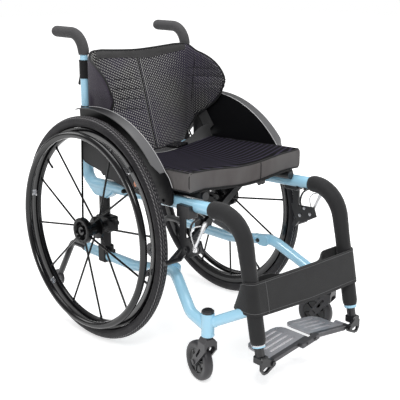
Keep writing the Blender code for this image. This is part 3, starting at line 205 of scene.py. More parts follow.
def resample(path, step):
    """Even points along a path."""
    path = [Vector(p) for p in path]
    lengths = [0.0]
    for a, b in zip(path, path[1:]):
        lengths.append(lengths[-1] + (b - a).length)
    count = max(2, round(lengths[-1] / step) + 1)
    out = []
    for i in range(count):
        at = lengths[-1] * i / (count - 1)
        k = min(len(path) - 2, int(np.searchsorted(lengths, at, side="right")) - 1)
        span = lengths[k + 1] - lengths[k]
        out.append(path[k].lerp(path[k + 1], (at - lengths[k]) / span if span else 0.0))
    return out


def spline(points, count):
    """Catmull-Rom curve through points."""
    pts = [Vector(p) for p in points]
    pts = [pts[0] * 2 - pts[1]] + pts + [pts[-1] * 2 - pts[-2]]
    spans = len(pts) - 3
    out = []
    for i in range(count):
        at = spans * i / (count - 1)
        k = min(spans - 1, int(at))
        t = at - k
        a, b, c, d = pts[k:k + 4]
        out.append(0.5 * ((2 * b) + (c - a) * t + (2 * a - 5 * b + 4 * c - d) * t ** 2
                          + (3 * b - a - 3 * c + d) * t ** 3))
    return out


def shell(name, front, rear, uvs=None, smooth=60.0):
    """Closed skin of a front and a rear grid of points, joined round their rims."""
    bm = bmesh.new()
    layer = bm.loops.layers.uv.new("UVMap")
    sheets = [[[bm.verts.new(p) for p in row] for row in grid] for grid in (front, rear)]
    where = {}
    if uvs is not None:
        for grid in sheets:
            for i, row in enumerate(grid):
                for j, vert in enumerate(row):
                    where[vert] = uvs[i][j]
    for grid in sheets:
        grid_faces(bm, grid)
    a, b = sheets
    rims = [(a[0], b[0]), (a[-1], b[-1]),
            ([r[0] for r in a], [r[0] for r in b]), ([r[-1] for r in a], [r[-1] for r in b])]
    for near, far in rims:
        for j in range(len(near) - 1):
            bm.faces.new((near[j], near[j + 1], far[j + 1], far[j]))
    if where:
        for face in bm.faces:
            for loop in face.loops:
                loop[layer].uv = where[loop.vert]
    return to_object(bm, name, smooth)


def ribbon(name, points, normals, ways, start):
    """Flat belt with slightly rounded edges; its UV map starts at a length along the belt."""
    width, thickness, cells = BELT_WIDTH, BELT_THICKNESS, 12
    front, rear, uvs = [], [], []
    along = start
    last = None
    for point, normal, way in zip(points, normals, ways):
        point = Vector(point)
        if last is not None:
            along += (point - last).length
        last = point
        normal = Vector(normal).normalized()
        way = Vector(way).normalized()
        frow, rrow, urow = [], [], []
        for j in range(cells + 1):
            s = 2.0 * j / cells - 1.0
            thin = 1.0 - 0.45 * max(0.0, abs(s) - 0.8) / 0.2
            frow.append(point + way * (s * width / 2) + normal * (thickness / 2 * thin))
            rrow.append(point + way * (s * width / 2) - normal * (thickness / 2 * thin))
            urow.append((along, s * width / 2))
        front.append(frow)
        rear.append(rrow)
        uvs.append(urow)
    return shell(name, front, rear, uvs, 50.0)


def lathe(name, profile, matrix, segments, smooth=35.0):
    """Turns a closed profile of (along, radius) pairs about the matrix's X axis."""
    bm = bmesh.new()
    rows = []
    for i in range(segments):
        angle = 2 * math.pi * i / segments
        rows.append([bm.verts.new(matrix @ Vector((u, -r * math.cos(angle), r * math.sin(angle))))
                     for u, r in profile])
    grid_faces(bm, rows + rows[:1], closed=True)
    return to_object(bm, name, smooth)


def slab(name, outline, axis, low, high, bevel=0.0, segments=2):
    """Plate of an outline in the two other axes, in X, Y, Z order, with rounded edges."""
    place = {"x": lambda a, b, t: (t, a, b), "y": lambda a, b, t: (a, t, b),
             "z": lambda a, b, t: (a, b, t)}[axis]
    bm = bmesh.new()
    near = [bm.verts.new(place(a, b, low)) for a, b in outline]
    far = [bm.verts.new(place(a, b, high)) for a, b in outline]
    count = len(outline)
    bm.faces.new(near)
    bm.faces.new(far[::-1])
    for i in range(count):
        j = (i + 1) % count
        bm.faces.new((near[i], far[i], far[j], near[j]))
    bmesh.ops.recalc_face_normals(bm, faces=bm.faces)
    if bevel > 0:
        edges = [e for e in bm.edges if e.calc_face_angle(0.0) > math.radians(40)]
        bmesh.ops.bevel(bm, geom=edges, offset=bevel, segments=segments, affect="EDGES",
                        clamp_overlap=True)
    return to_object(bm, name, 35.0)


def bolt(name, spot, way, radius, height):
    """Hexagonal screw head on a washer, standing on a surface along a direction."""
    way = Vector(way).normalized()
    base = Vector(spot)
    seat = base + way * (height * 0.25)
    head = tube(name, [seat, base + way * height * 0.9, base + way * height],
                [radius * 0.78, radius * 0.78, radius * 0.62], 6, smooth=25.0)
    washer = tube(name, [base - way * 0.001, seat, base + way * (height * 0.32)],
                  [radius, radius, radius * 0.9], 16)
    return merge(name, [washer, head])


def merge(name, objects):
    base = objects[0]
    bm = bmesh.new()
    for obj in objects:
        bm.from_mesh(obj.data)
    mesh = bpy.data.meshes.new(name)
    bm.to_mesh(mesh)
    bm.free()
    for obj in objects[1:]:
        bpy.data.objects.remove(obj, do_unlink=True)
    base.data = mesh
    base.name = name
    return base


def paint(obj, material):
    obj.data.materials.clear()
    obj.data.materials.append(material)
    return obj


def place(obj, body, slot, look, *nodes):
    """Paints a finished piece, moves it to the frame's place, ties it to its body and hides the CAD nodes
    it stands in for.
    """
    skin = LOOKS[look]
    paint(obj, skin[body.split("_")[0]] if isinstance(skin, dict) else skin)
    shift(obj)
    if body:
        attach(obj, body)
    if nodes:
        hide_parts(*nodes)
    return obj


def pair(obj, name, body, slot, look, *nodes):
    """Finishes a left-hand piece and its mirror image on the right."""
    mesh = obj.data.copy()
    mirror(mesh)
    other = bpy.data.objects.new("right_" + name, mesh)
    bpy.context.scene.collection.objects.link(other)
    obj.name = "left_" + name
    for piece, side in ((obj, "left_"), (other, "right_")):
        place(piece, side + body, slot, look, *[side + n for n in nodes])


def narrow(piece):
    """Gives the piece its own copy of its mesh."""
    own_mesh(piece)


class Look:
    """A material with short ways to add its procedural detail."""

    def __init__(self, name, colour, roughness, metallic=0.0, **sockets):
        self.material = bpy.data.materials.new(name)
        self.material.use_nodes = True
        self.tree = self.material.node_tree
        self.shader = self.tree.nodes["Principled BSDF"]
        self.colour = (*colour, 1.0)
        self.shader.inputs["Base Color"].default_value = self.colour
        self.shader.inputs["Roughness"].default_value = roughness
        self.shader.inputs["Metallic"].default_value = metallic
        for socket, value in sockets.items():
            self.shader.inputs[socket.replace("_", " ")].default_value = value
        self.height = None
        self.coordinates = self.node("ShaderNodeTexCoord")

    def node(self, kind, **settings):
        made = self.tree.nodes.new(kind)
        for key, value in settings.items():
            setattr(made, key, value)
        return made

    def link(self, a, b):
        self.tree.links.new(a, b)
        return b

    def feed(self, socket, value):
        if isinstance(value, (int, float, tuple)):
            socket.default_value = value
        else:
            self.link(value, socket)

    def math(self, operation, a, b=0.0, c=0.0):
        made = self.node("ShaderNodeMath", operation=operation)
        for socket, value in zip(made.inputs, (a, b, c)):
            self.feed(socket, value)
        return made.outputs[0]

    def times(self, a, b):
        return self.math("MULTIPLY", a, b)

    def spread(self, value, low, high, to_low=0.0, to_high=1.0):
        made = self.node("ShaderNodeMapRange")
        for socket, item in zip(made.inputs, (value, low, high, to_low, to_high)):
            self.feed(socket, item)
        return made.outputs[0]

    def mix(self, share, a, b):
        made = self.node("ShaderNodeMix", data_type="RGBA")
        self.feed(made.inputs[0], share)
        self.feed(made.inputs[6], a)
        self.feed(made.inputs[7], b)
        return made.outputs[2]

    def noise(self, scale, detail=3.0, roughness=0.55, uv=False, stretch=(1.0, 1.0, 1.0)):
        place_node = self.node("ShaderNodeMapping")
        place_node.inputs["Scale"].default_value = stretch
        self.link(self.coordinates.outputs["UV" if uv else "Object"], place_node.inputs[0])
        made = self.node("ShaderNodeTexNoise")
        made.inputs["Scale"].default_value = scale
        made.inputs["Detail"].default_value = detail
        made.inputs["Roughness"].default_value = roughness
        self.link(place_node.outputs[0], made.inputs["Vector"])
        return made.outputs[0]

    def axes(self, uv=False):
        made = self.node("ShaderNodeSeparateXYZ")
        self.link(self.coordinates.outputs["UV" if uv else "Object"], made.inputs[0])
        return made.outputs[0], made.outputs[1], made.outputs[2]

    def wave(self, value, period, phase=0.0):
        """0 to 1 along a coordinate."""
        turn = self.math("MULTIPLY_ADD", value, 2 * math.pi / period, phase)
        return self.math("MULTIPLY_ADD", self.math("SINE", turn), 0.5, 0.5)

    def raise_by(self, height, share=1.0):
        scaled = self.math("MULTIPLY", height, share)
        self.height = scaled if self.height is None else self.math("ADD", self.height, scaled)

    def tint(self, share, colour):
        """Blends the base colour towards another one."""
        socket = self.shader.inputs["Base Color"]
        now = socket.links[0].from_socket if socket.links else self.colour
        self.link(self.mix(share, now, (*colour, 1.0)), socket)

    def rough(self, value, low, high):
        self.link(self.spread(value, 0.0, 1.0, low, high), self.shader.inputs["Roughness"])

    def done(self, distance=0.001, strength=1.0):
        if self.height is not None:
            bump = self.node("ShaderNodeBump")
            bump.inputs["Distance"].default_value = distance
            bump.inputs["Strength"].default_value = strength
            self.link(self.height, bump.inputs["Height"])
            self.link(bump.outputs[0], self.shader.inputs["Normal"])
        return self.material


def shade(colour, share):
    return tuple(c * share for c in colour)


def coat(name, colour, roughness, metallic=0.0, grain=900.0, depth=0.00004, wear=None, **more):
    """Coated or moulded surface: fine grain, uneven gloss and faint wear."""
    look = Look(name, colour, roughness, metallic, **more)
    fine = look.noise(grain, 2.0)
    broad = look.noise(14.0, 4.0)
    look.rough(broad, max(0.05, roughness - 0.07), min(1.0, roughness + 0.09))
    look.tint(look.spread(broad, 0.35, 0.75, 0.0, 0.25), shade(colour, 0.78))
    if wear:
        scuffs = look.noise(70.0, 6.0, 0.75)
        look.tint(look.spread(scuffs, 0.66, 0.74, 0.0, 0.5), wear)
    look.raise_by(fine)
    return look.done(depth)


def foam(name, colour, grain, depth, sheen=0.2):
    look = Look(name, colour, 0.72, Sheen_Weight=sheen, Sheen_Roughness=0.4, Specular_IOR_Level=0.3)
    cells = look.noise(grain, 3.0, 0.65)
    broad = look.noise(18.0, 3.0)
    look.rough(broad, 0.62, 0.86)
    look.tint(look.spread(cells, 0.3, 0.8, 0.0, 0.6), shade(colour, 1.6))
    look.raise_by(cells)
    look.raise_by(look.noise(45.0, 3.0), 1.4)
    return look.done(depth)


def woven(name, colour, light, pitch=0.0016, depth=0.00025):
    """Plain weave that follows the piece's UV map, in metres."""
    look = Look(name, colour, 0.85, Sheen_Weight=0.15, Sheen_Roughness=0.5, Specular_IOR_Level=0.3)
    u, v, _ = look.axes(uv=True)
    weave = look.times(look.wave(u, pitch), look.wave(v, pitch, 1.2))
    look.tint(look.spread(weave, 0.25, 0.95, 0.0, 0.8), light)
    look.tint(look.spread(look.noise(22.0, 4.0), 0.4, 0.75, 0.0, 0.35), shade(colour, 0.5))
    look.raise_by(weave)
    look.raise_by(look.noise(60.0, 3.0), 0.8)
    return look.done(depth)


def webbing(name, colour, edge):
    """Ribbed belt webbing, pale-edged up to its rising end; UV v runs across the belt."""
    look = Look(name, colour, 0.72, Sheen_Weight=0.15, Sheen_Roughness=0.4, Specular_IOR_Level=0.3)
    u, v, _ = look.axes(uv=True)
    ribs = look.wave(v, 0.0032)
    picks = look.wave(u, 0.0022)
    look.tint(look.spread(look.times(ribs, picks), 0.3, 1.0, 0.0, 0.6), shade(colour, 2.2))
    look.tint(look.spread(u, 0.215, 0.235), (0.044, 0.044, 0.045))
    band = look.math("GREATER_THAN", look.math("ABSOLUTE", v), 0.0173)
    flat = look.math("LESS_THAN", u, 0.225)
    look.tint(look.times(look.times(band, flat), 0.9), edge)
    look.raise_by(ribs)
    look.raise_by(picks, 0.5)
    return look.done(0.0003)


def spacer_mesh(name, colour, light, tinge):
    """Open knit: short slanting pale loops in leaning columns on a dark violet ground, dimmed towards the
    far (+x) side as painted shade.
    """
    look = Look(name, colour, 0.8, Sheen_Weight=0.12, Sheen_Roughness=0.4, Specular_IOR_Level=0.3)
    u, v, _ = look.axes(uv=True)
    columns = look.wave(u, 0.006)
    rows = look.wave(look.math("MULTIPLY_ADD", u, -0.9, v), 0.0074)
    flip = look.wave(look.math("MULTIPLY_ADD", u, 0.45, v), 0.0074, 1.4)
    rows = look.math("MAXIMUM", look.times(rows, look.spread(u, -0.02, 0.03, 0.35, 1.0)),
                     look.times(flip, look.spread(u, -0.02, 0.03, 1.0, 0.25)))
    loops = look.times(look.spread(columns, 0.25, 0.7), look.spread(rows, 0.3, 0.65))
    thread = look.noise(900.0, 2.0)
    broad = look.noise(9.0, 3.0)
    look.tint(look.spread(broad, 0.35, 0.7), tinge)
    # Painted shade: the loops grow fainter towards the far (+x) side; the broad noise also dims them in
    # random patches.
    fade = look.times(look.spread(look.axes()[0], 0.09, 0.19, 1.0, 0.45),
                      look.spread(broad, 0.3, 0.7, 1.0, 0.62))
    look.tint(look.times(look.spread(loops, 0.25, 0.75, 0.0, 0.95), fade), light)
    look.tint(look.spread(thread, 0.55, 0.8, 0.0, 0.4), shade(colour, 0.6))
    look.raise_by(loops)
    look.raise_by(thread, 0.25)
    return look.done(0.0009)


def cushion_cover():
    """Near-black cover whose top carries faint violet curved ribs; the sides are grey cloth."""
    look = Look("cushion_cloth", (0.0045, 0.0042, 0.005), 0.8, Specular_IOR_Level=0.08)
    x, y, _ = look.axes()
    away = look.times(x, x)
    bent = look.math("MULTIPLY_ADD", away, -1.6, look.math("MULTIPLY_ADD", x, 0.1, y))
    bent = look.math("MULTIPLY_ADD", look.noise(3.2, 2.0), 0.03, bent)
    ribs = look.wave(bent, 0.0175)
    fine = look.noise(800.0, 2.0)
    look.tint(look.spread(ribs, 0.66, 0.94, 0.0, 0.95), (0.036, 0.03, 0.054))
    look.tint(look.spread(fine, 0.5, 0.8, 0.0, 0.22), (0.03, 0.03, 0.034))
    side = look.node("ShaderNodeAttribute", attribute_name="wall").outputs["Fac"]
    look.tint(side, (0.168, 0.16, 0.158))
    patches = look.noise(16.0, 4.0, stretch=(1.0, 1.0, 0.4))
    look.tint(look.times(side, look.spread(patches, 0.38, 0.8, 0.0, 0.8)), (0.105, 0.092, 0.092))
    look.raise_by(ribs, 0.4)
    look.raise_by(fine, 0.35)
    return look.done(0.0008)


def around_axle(look, centre, tilt):
    """Angle about a wheel's axle, distance from it and place along it."""
    turn = look.node("ShaderNodeMapping", vector_type="TEXTURE")
    turn.inputs["Location"].default_value = centre
    turn.inputs["Rotation"].default_value = (0.0, tilt, 0.0)
    look.link(look.coordinates.outputs["Object"], turn.inputs[0])
    parts = look.node("ShaderNodeSeparateXYZ")
    look.link(turn.outputs[0], parts.inputs[0])
    x, y, z = parts.outputs
    radius = look.math("SQRT", look.math("ADD", look.times(y, y), look.times(z, z)))
    return look.math("ARCTAN2", z, y), radius, x


def tyre_look(side):
    """Black rubber: slanted sipes across the tread, rings on the wall, and pale dashes on the tread ribs
    that are a painted highlight.
    """
    look = Look("tyre_rubber_" + side, (0.014, 0.013, 0.0155), 0.55, Specular_IOR_Level=0.3)
    way = 1.0 if side == "left" else -1.0
    angle, radius, along = around_axle(look, (way * WHEEL_X, AXLE_Y, AXLE_HEIGHT), -way * CAMBER)
    lean = look.math("MULTIPLY_ADD", look.math("ABSOLUTE", along), 14.0, angle)
    sipes = look.wave(lean, 2 * math.pi / 168)
    tracks = look.wave(along, 0.0052, 1.57)
    band = look.spread(radius, 0.289, 0.2925)
    tread = look.times(band, look.spread(sipes, 0.35, 0.65))
    painted_highlight_dashes = look.times(tread, look.spread(tracks, 0.55, 0.85))
    # Painted highlight: pale dashes on the rib crests stand in for bright streaks of light.
    look.tint(look.times(painted_highlight_dashes, 0.85), (0.33, 0.32, 0.33))
    rings = look.times(look.spread(radius, 0.289, 0.287), look.wave(radius, 0.0036))
    look.tint(look.spread(look.noise(30.0, 4.0), 0.45, 0.75, 0.0, 0.5), (0.04, 0.038, 0.04))
    look.raise_by(tread, 1.0)
    look.raise_by(rings, 0.3)
    look.raise_by(look.noise(1200.0, 2.0), 0.08)
    look.rough(look.noise(25.0, 3.0), 0.42, 0.66)
    return look.done(0.001)


def plate_look():
    """Satin silver plate with a black bar along its front edge."""
    look = Look("plate_metal", (0.5, 0.495, 0.52), 0.3, 0.55)
    y = look.axes()[1]
    bar = look.math("LESS_THAN", y, -0.5462 + AXLE_Y)
    broad = look.noise(30.0, 4.0)
    look.tint(look.spread(broad, 0.35, 0.7, 0.0, 0.5), (0.28, 0.275, 0.3))
    look.tint(look.spread(look.noise(70.0, 6.0, 0.75), 0.64, 0.74, 0.0, 0.6), (0.62, 0.62, 0.63))
    look.tint(look.times(bar, 0.85), (0.02, 0.02, 0.023))
    look.rough(broad, 0.26, 0.46)
    look.raise_by(look.noise(260.0, 2.0))
    return look.done(0.00006)


def guard_lip_painted_highlight():
    """Black plastic rim of the guard, tinted paler towards the front as a painted highlight."""
    look = Look("guard_rim", (0.014, 0.014, 0.015), 0.32, Specular_IOR_Level=0.3)
    y = look.axes()[1]
    # Painted highlight: pale grey tint growing towards the front of the lip.
    pale = look.spread(y, AXLE_Y + 0.01, AXLE_Y - 0.2)
    look.tint(look.times(pale, 0.75), (0.17, 0.17, 0.175))
    look.rough(look.noise(20.0, 3.0), 0.26, 0.4)
    look.raise_by(look.noise(1500.0, 2.0))
    return look.done(0.00003)


BLACK = (0.013, 0.013, 0.015)
LOOKS = {
    "frame_blue": coat("paint_blue", (0.435, 0.785, 1.0), 0.22, 0.0, 700.0, 0.00002,
                       Coat_Weight=0.6, Coat_Roughness=0.1),
    "black_metal": coat("black_coat", BLACK, 0.32, 0.0, 1400.0, 0.00005, wear=(0.09, 0.09, 0.1)),
    "caster_black": coat("caster_rubber", (0.042, 0.04, 0.044), 0.4, 0.0, 600.0, 0.00008,
                         wear=(0.06, 0.058, 0.057)),
    "fork_black": coat("fork_coat", (0.048, 0.046, 0.05), 0.28, 0.0, 1200.0, 0.00004,
                       wear=(0.12, 0.12, 0.12)),
    "steel": coat("bright_steel", (0.62, 0.62, 0.64), 0.24, 1.0, 500.0, 0.00003),
    "guard_black": coat("guard_plastic", (0.006, 0.006, 0.007), 0.34, 0.0, 1800.0, 0.00003,
                        Specular_IOR_Level=0.25),
    "silver": coat("bright_plate", (0.55, 0.55, 0.57), 0.26, 0.9, 500.0, 0.00004),
    "gloss_black": coat("gloss_black", (0.006, 0.006, 0.007), 0.14, 0.0, 800.0, 0.00001,
                        Specular_IOR_Level=0.45),
    "hub_black": coat("hub_black", (0.004, 0.004, 0.0045), 0.2, 0.0, 900.0, 0.00002,
                      Specular_IOR_Level=0.22),
    "lever": coat("lever_metal", (0.72, 0.72, 0.73), 0.26, 0.75, 500.0, 0.00003),
    # Pale look for the guard's edge line, which is a painted highlight.
    "edge_white": coat("edge_white", (0.62, 0.62, 0.63), 0.3, 0.0, 1500.0, 0.00002),
    "orange": coat("reflector_lens", (0.85, 0.2, 0.02), 0.18, 0.0, 400.0, 0.0002, Coat_Weight=0.6,
                   Coat_Roughness=0.05),
    "foam_black": foam("sleeve_foam", (0.0185, 0.0185, 0.0195), 900.0, 0.0004),
    "grip_grey": foam("grip_foam", (0.057, 0.056, 0.058), 700.0, 0.0004, 0.1),
    "mesh": spacer_mesh("back_mesh", (0.01, 0.009, 0.013), (0.58, 0.58, 0.55), (0.026, 0.019, 0.046)),
    "panel": woven("back_panel_cloth", (0.034, 0.026, 0.044), (0.05, 0.042, 0.06), 0.0014),
    "hem": woven("hem_cloth", (0.052, 0.051, 0.052), (0.085, 0.084, 0.085)),
    "binding": woven("binding_cloth", (0.007, 0.007, 0.008), (0.02, 0.02, 0.021), 0.0012),
    "sling": woven("sling_cloth", (0.009, 0.009, 0.01), (0.026, 0.026, 0.028), 0.002),
    "belt": webbing("belt_webbing", (0.015, 0.015, 0.016), (0.36, 0.36, 0.36)),
    "strap": woven("strap_cloth", (0.024, 0.024, 0.025), (0.034, 0.034, 0.035), 0.0018, 0.0003),
    "thread": coat("stitch_thread", (0.15, 0.15, 0.155), 0.7, 0.0, 1500.0, 0.0001),
    "cushion": cushion_cover(),
    "tyre": {side: tyre_look(side) for side in ("left", "right")},
    "plate_silver": plate_look(),
    "lip": guard_lip_painted_highlight(),
}
# The right (near) leg ring takes the silver look instead of the frame blue: a painted highlight.
LOOKS["ring"] = {"left": LOOKS["frame_blue"], "right": LOOKS["silver"]}


SPOKES = 12
TYRE_SECTION = 0.0148
RIM_SEAT = 0.2701
RIM_WELL = 0.2486
SPOKE_START = math.radians(8.2)
CLIP_START = math.radians(48.0)
HAND_RIM = (0.033, 0.255, 0.0092)


def wheel_matrix():
    height = TYRE_SECTION + (WHEEL_RADIUS - TYRE_SECTION) * math.cos(CAMBER)
    return Matrix.Translation((WHEEL_X, 0.0, height)) @ Matrix.Rotation(-CAMBER, 4, "Y")


def spoke_way(angle):
    return Vector((0.0, -math.cos(angle), math.sin(angle)))


def tyre_section():
    """Round section with fine ribs round the tread and shallow rings on the walls."""
    profile = []
    points = 88
    for i in range(points):
        angle = 2 * math.pi * i / points
        turn = math.degrees(min(angle, 2 * math.pi - angle))
        arc = TYRE_SECTION * math.radians(turn)
        radius = TYRE_SECTION
        if turn < 64:
            radius -= 0.00055 * (0.5 - 0.5 * math.cos(2 * math.pi * arc / 0.0033))
        elif turn < 130:
            radius -= 0.0002 * (0.5 + 0.5 * math.cos(2 * math.pi * arc / 0.0048))
        profile.append((radius * math.sin(angle),
                        WHEEL_RADIUS - TYRE_SECTION + radius * math.cos(angle)))
    return profile


def build_wheels():
    matrix = wheel_matrix()
    tyre = lathe("tyre", tyre_section(), matrix, 160, 50.0)
    pair(tyre, "tyre_tread", "wheel", "tyre_black", "tyre", "rear_tyre")

    half = [(0.0105, 0.27), (0.0106, 0.266), (0.01, 0.2618), (0.0088, 0.258), (0.0066, 0.2508),
            (0.005, 0.249), (0.003, RIM_WELL)]
    profile = both_ways(half) + [(-0.0085, RIM_SEAT), (0.0085, RIM_SEAT)]
    rim = lathe("rim", profile, matrix, 160)
    nipples = []
    for i in range(SPOKES):
        away = spoke_way(SPOKE_START + 2 * math.pi * i / SPOKES)
        nipples.append(tube("nipple", [matrix @ (away * r) for r in (0.239, 0.2425, 0.2492)],
                            [0.0027, 0.0034, 0.0034], 8))
    merge("rim", [rim] + nipples)
    pair(rim, "rim_hoop", "wheel", "black_metal", "gloss_black", "rear_rim")

    valve_way = spoke_way(math.radians(142.5))
    valve = tube("valve", [matrix @ (valve_way * r)
                           for r in (0.2488, 0.243, 0.2425, 0.229, 0.2285, 0.2215)],
                 [0.0042, 0.0042, 0.003, 0.003, 0.0036, 0.003], 12)
    pair(valve, "valve_stem", "wheel", "black_metal", "black_metal")

    build_hub(matrix)
    build_hand_rim(matrix)


def build_hub(matrix):
    hub = lathe("hub", [
        (-0.0265, 0.0068), (0.029, 0.0068), (0.029, 0.011), (0.0282, 0.0118), (0.0262, 0.0124),
        (0.0258, 0.0132), (0.0262, 0.021), (0.0285, 0.0228), (0.0345, 0.024), (0.036, 0.0252),
        (0.0366, 0.029), (0.0362, 0.0334), (0.035, 0.035), (0.0235, 0.0352), (0.0215, 0.0338),
        (0.016, 0.0172), (-0.0105, 0.0172), (-0.0138, 0.0296), (-0.0148, 0.0304), (-0.02, 0.0304),
        (-0.0206, 0.0296), (-0.0225, 0.015), (-0.0265, 0.014)], matrix, 56)
    parts = [hub]
    for i in range(SPOKES):
        away = spoke_way(SPOKE_START + 2 * math.pi * i / SPOKES)
        offset = 0.0255 if i % 2 else -0.0175
        root = Vector((offset, 0.0, 0.0)) + away * 0.0265
        path = [matrix @ root, matrix @ root.lerp(away * 0.24, 0.04), matrix @ (away * 0.244)]
        parts.append(tube("spoke", path, [0.0036, 0.0029, 0.0027], 10))
        between = spoke_way(SPOKE_START + 2 * math.pi * (i + 0.5) / SPOKES)
        bead = matrix @ (Vector((0.0364, 0.0, 0.0)) + between * 0.03)
        way = matrix.to_3x3() @ Vector((1.0, 0.0, 0.0))
        parts.append(tube("bead", [bead, bead + way * 0.001], [0.0017, 0.0012], 8))
    merge("hub", parts)
    pair(hub, "hub_spokes", "wheel", "black_metal", "hub_black", "spoked_hub")


def build_hand_rim(matrix):
    offset, radius, section = HAND_RIM
    profile = [(offset + section * math.cos(a), radius + section * math.sin(a))
               for a in (2 * math.pi * k / 20 for k in range(20))]
    rim = lathe("hand_rim", profile, matrix, 160, 60.0)
    pair(rim, "hand_rim_tube", "wheel", "black_metal", "gloss_black", "hand_rim")
    clips = []
    for i in range(6):
        turn = matrix @ Matrix.Rotation(math.pi / 2 - (CLIP_START + 2 * math.pi * i / 6), 4, "X")
        path = [(0.0112, 0.25), (0.0112, 0.256), (0.015, 0.2572), (0.024, 0.2576), (0.0285, 0.256)]
        across = (-0.0085, -0.007, 0.0, 0.007, 0.0085)
        front = [[turn @ Vector((u, y, r + 0.0009)) for y in across] for u, r in path]
        rear = [[turn @ Vector((u - 0.0004, y, r - 0.0016)) for y in across] for u, r in path]
        clips.append(shell("clip", front, rear, smooth=40.0))
        screw = turn @ Vector((0.0195, 0.0, 0.258))
        away = (turn.to_3x3() @ Vector((0.0, 0.0, 1.0))).normalized()
        clips.append(bolt("clip_screw", screw - away * 0.0046, -away, 0.003, 0.0022))
    merge("clips", clips)
    pair(clips[0], "hand_rim_clips", "wheel", "steel", "silver")


build_wheels()


CASTER = (0.229, -0.43)
CASTER_TURN = math.radians(12.0)


def caster_matrix():
    stem = Vector((*CASTER, 0.0))
    turn = Matrix.Translation(stem) @ Matrix.Rotation(CASTER_TURN, 4, "Z")
    turn @= Matrix.Translation(-stem)
    return turn @ Matrix.Translation((CASTER[0], CASTER[1] + 0.038, 0.05))


def build_casters():
    matrix = caster_matrix()
    half = [(0.0035, 0.05), (0.0075, 0.049), (0.01, 0.0468), (0.0113, 0.0435), (0.0114, 0.04),
            (0.0104, 0.0362), (0.01, 0.0344)]
    tyre = lathe("caster_tyre", both_ways(half), matrix, 72, 30.0)
    pair(tyre, "caster_tread", "caster_wheel", "caster_black", "caster_black", "caster_tyre")
    side = [(0.0114, 0.0044), (0.0114, 0.0088), (0.0108, 0.0098), (0.007, 0.0112), (0.0062, 0.013),
            (0.0062, 0.027), (0.0072, 0.029), (0.0094, 0.0306), (0.0098, 0.032), (0.0096, 0.034)]
    hub = lathe("caster_hub", both_ways(side), matrix, 60, 30.0)
    parts = [hub]
    for i in range(6):
        turn = matrix @ Matrix.Rotation(math.pi * i / 3 + 0.2, 4, "X")
        for way in (-1, 1):
            path = [turn @ Vector((way * 0.0066, 0.0, r)) for r in (0.0105, 0.02, 0.0295)]
            parts.append(tube("rib", path, [0.0026, 0.0019, 0.0026], 8))
    merge("caster_hub", parts)
    pair(hub, "caster_hub_disc", "caster_wheel", "black_metal", "gloss_black", "caster_hub")


build_casters()


def frame_line():
    rear = rounded([(FRAME_X, UPRIGHT_Y, UPRIGHT_TOP), (FRAME_X, UPRIGHT_Y, seat_tube_z(UPRIGHT_Y)),
                    (FRAME_X, TAPER_Y, seat_tube_z(TAPER_Y))], [0.035], 12)
    leg = rounded([(FRAME_X, TAPER_Y, seat_tube_z(TAPER_Y)), (LEG_X, KNEE_Y, seat_tube_z(KNEE_Y)),
                   (LEG_X, *FOOT_END)], [0.085], 20)
    return rear, leg


POST_Y = 0.024
POST_TOP = 0.374
RAIL_Z = 0.206
PIVOT = (0.155, 0.225)


def build_side_frames():
    rear, leg = frame_line()
    upper = tube("side_tube", resample(rear, 0.012) + resample(leg, 0.008)[1:], TUBE_RADIUS, 32)
    top = seat_tube_z(POST_Y)
    outline = [(POST_Y + 0.058, top - 0.004), (POST_Y + 0.052, top - 0.012),
               (POST_Y + 0.031, POST_TOP + 0.002), (POST_Y + 0.028, POST_TOP),
               (POST_Y - 0.026, POST_TOP), (POST_Y - 0.029, POST_TOP + 0.002),
               (POST_Y - 0.054, top - 0.01), (POST_Y - 0.06, top)]
    lug = slab("lug", outline, "x", FRAME_X - 0.015, FRAME_X + 0.015, 0.004, 3)
    rim = tube("socket_rim", [(FRAME_X, UPRIGHT_Y, z) for z in (0.4655, 0.4662, 0.4693, 0.47)],
               [0.016, 0.0168, 0.0168, 0.016], 32)
    merge("side_tube", [upper, lug, rim])
    pair(upper, "side_tube", "frame", "frame_blue", "frame_blue", "side_frame")


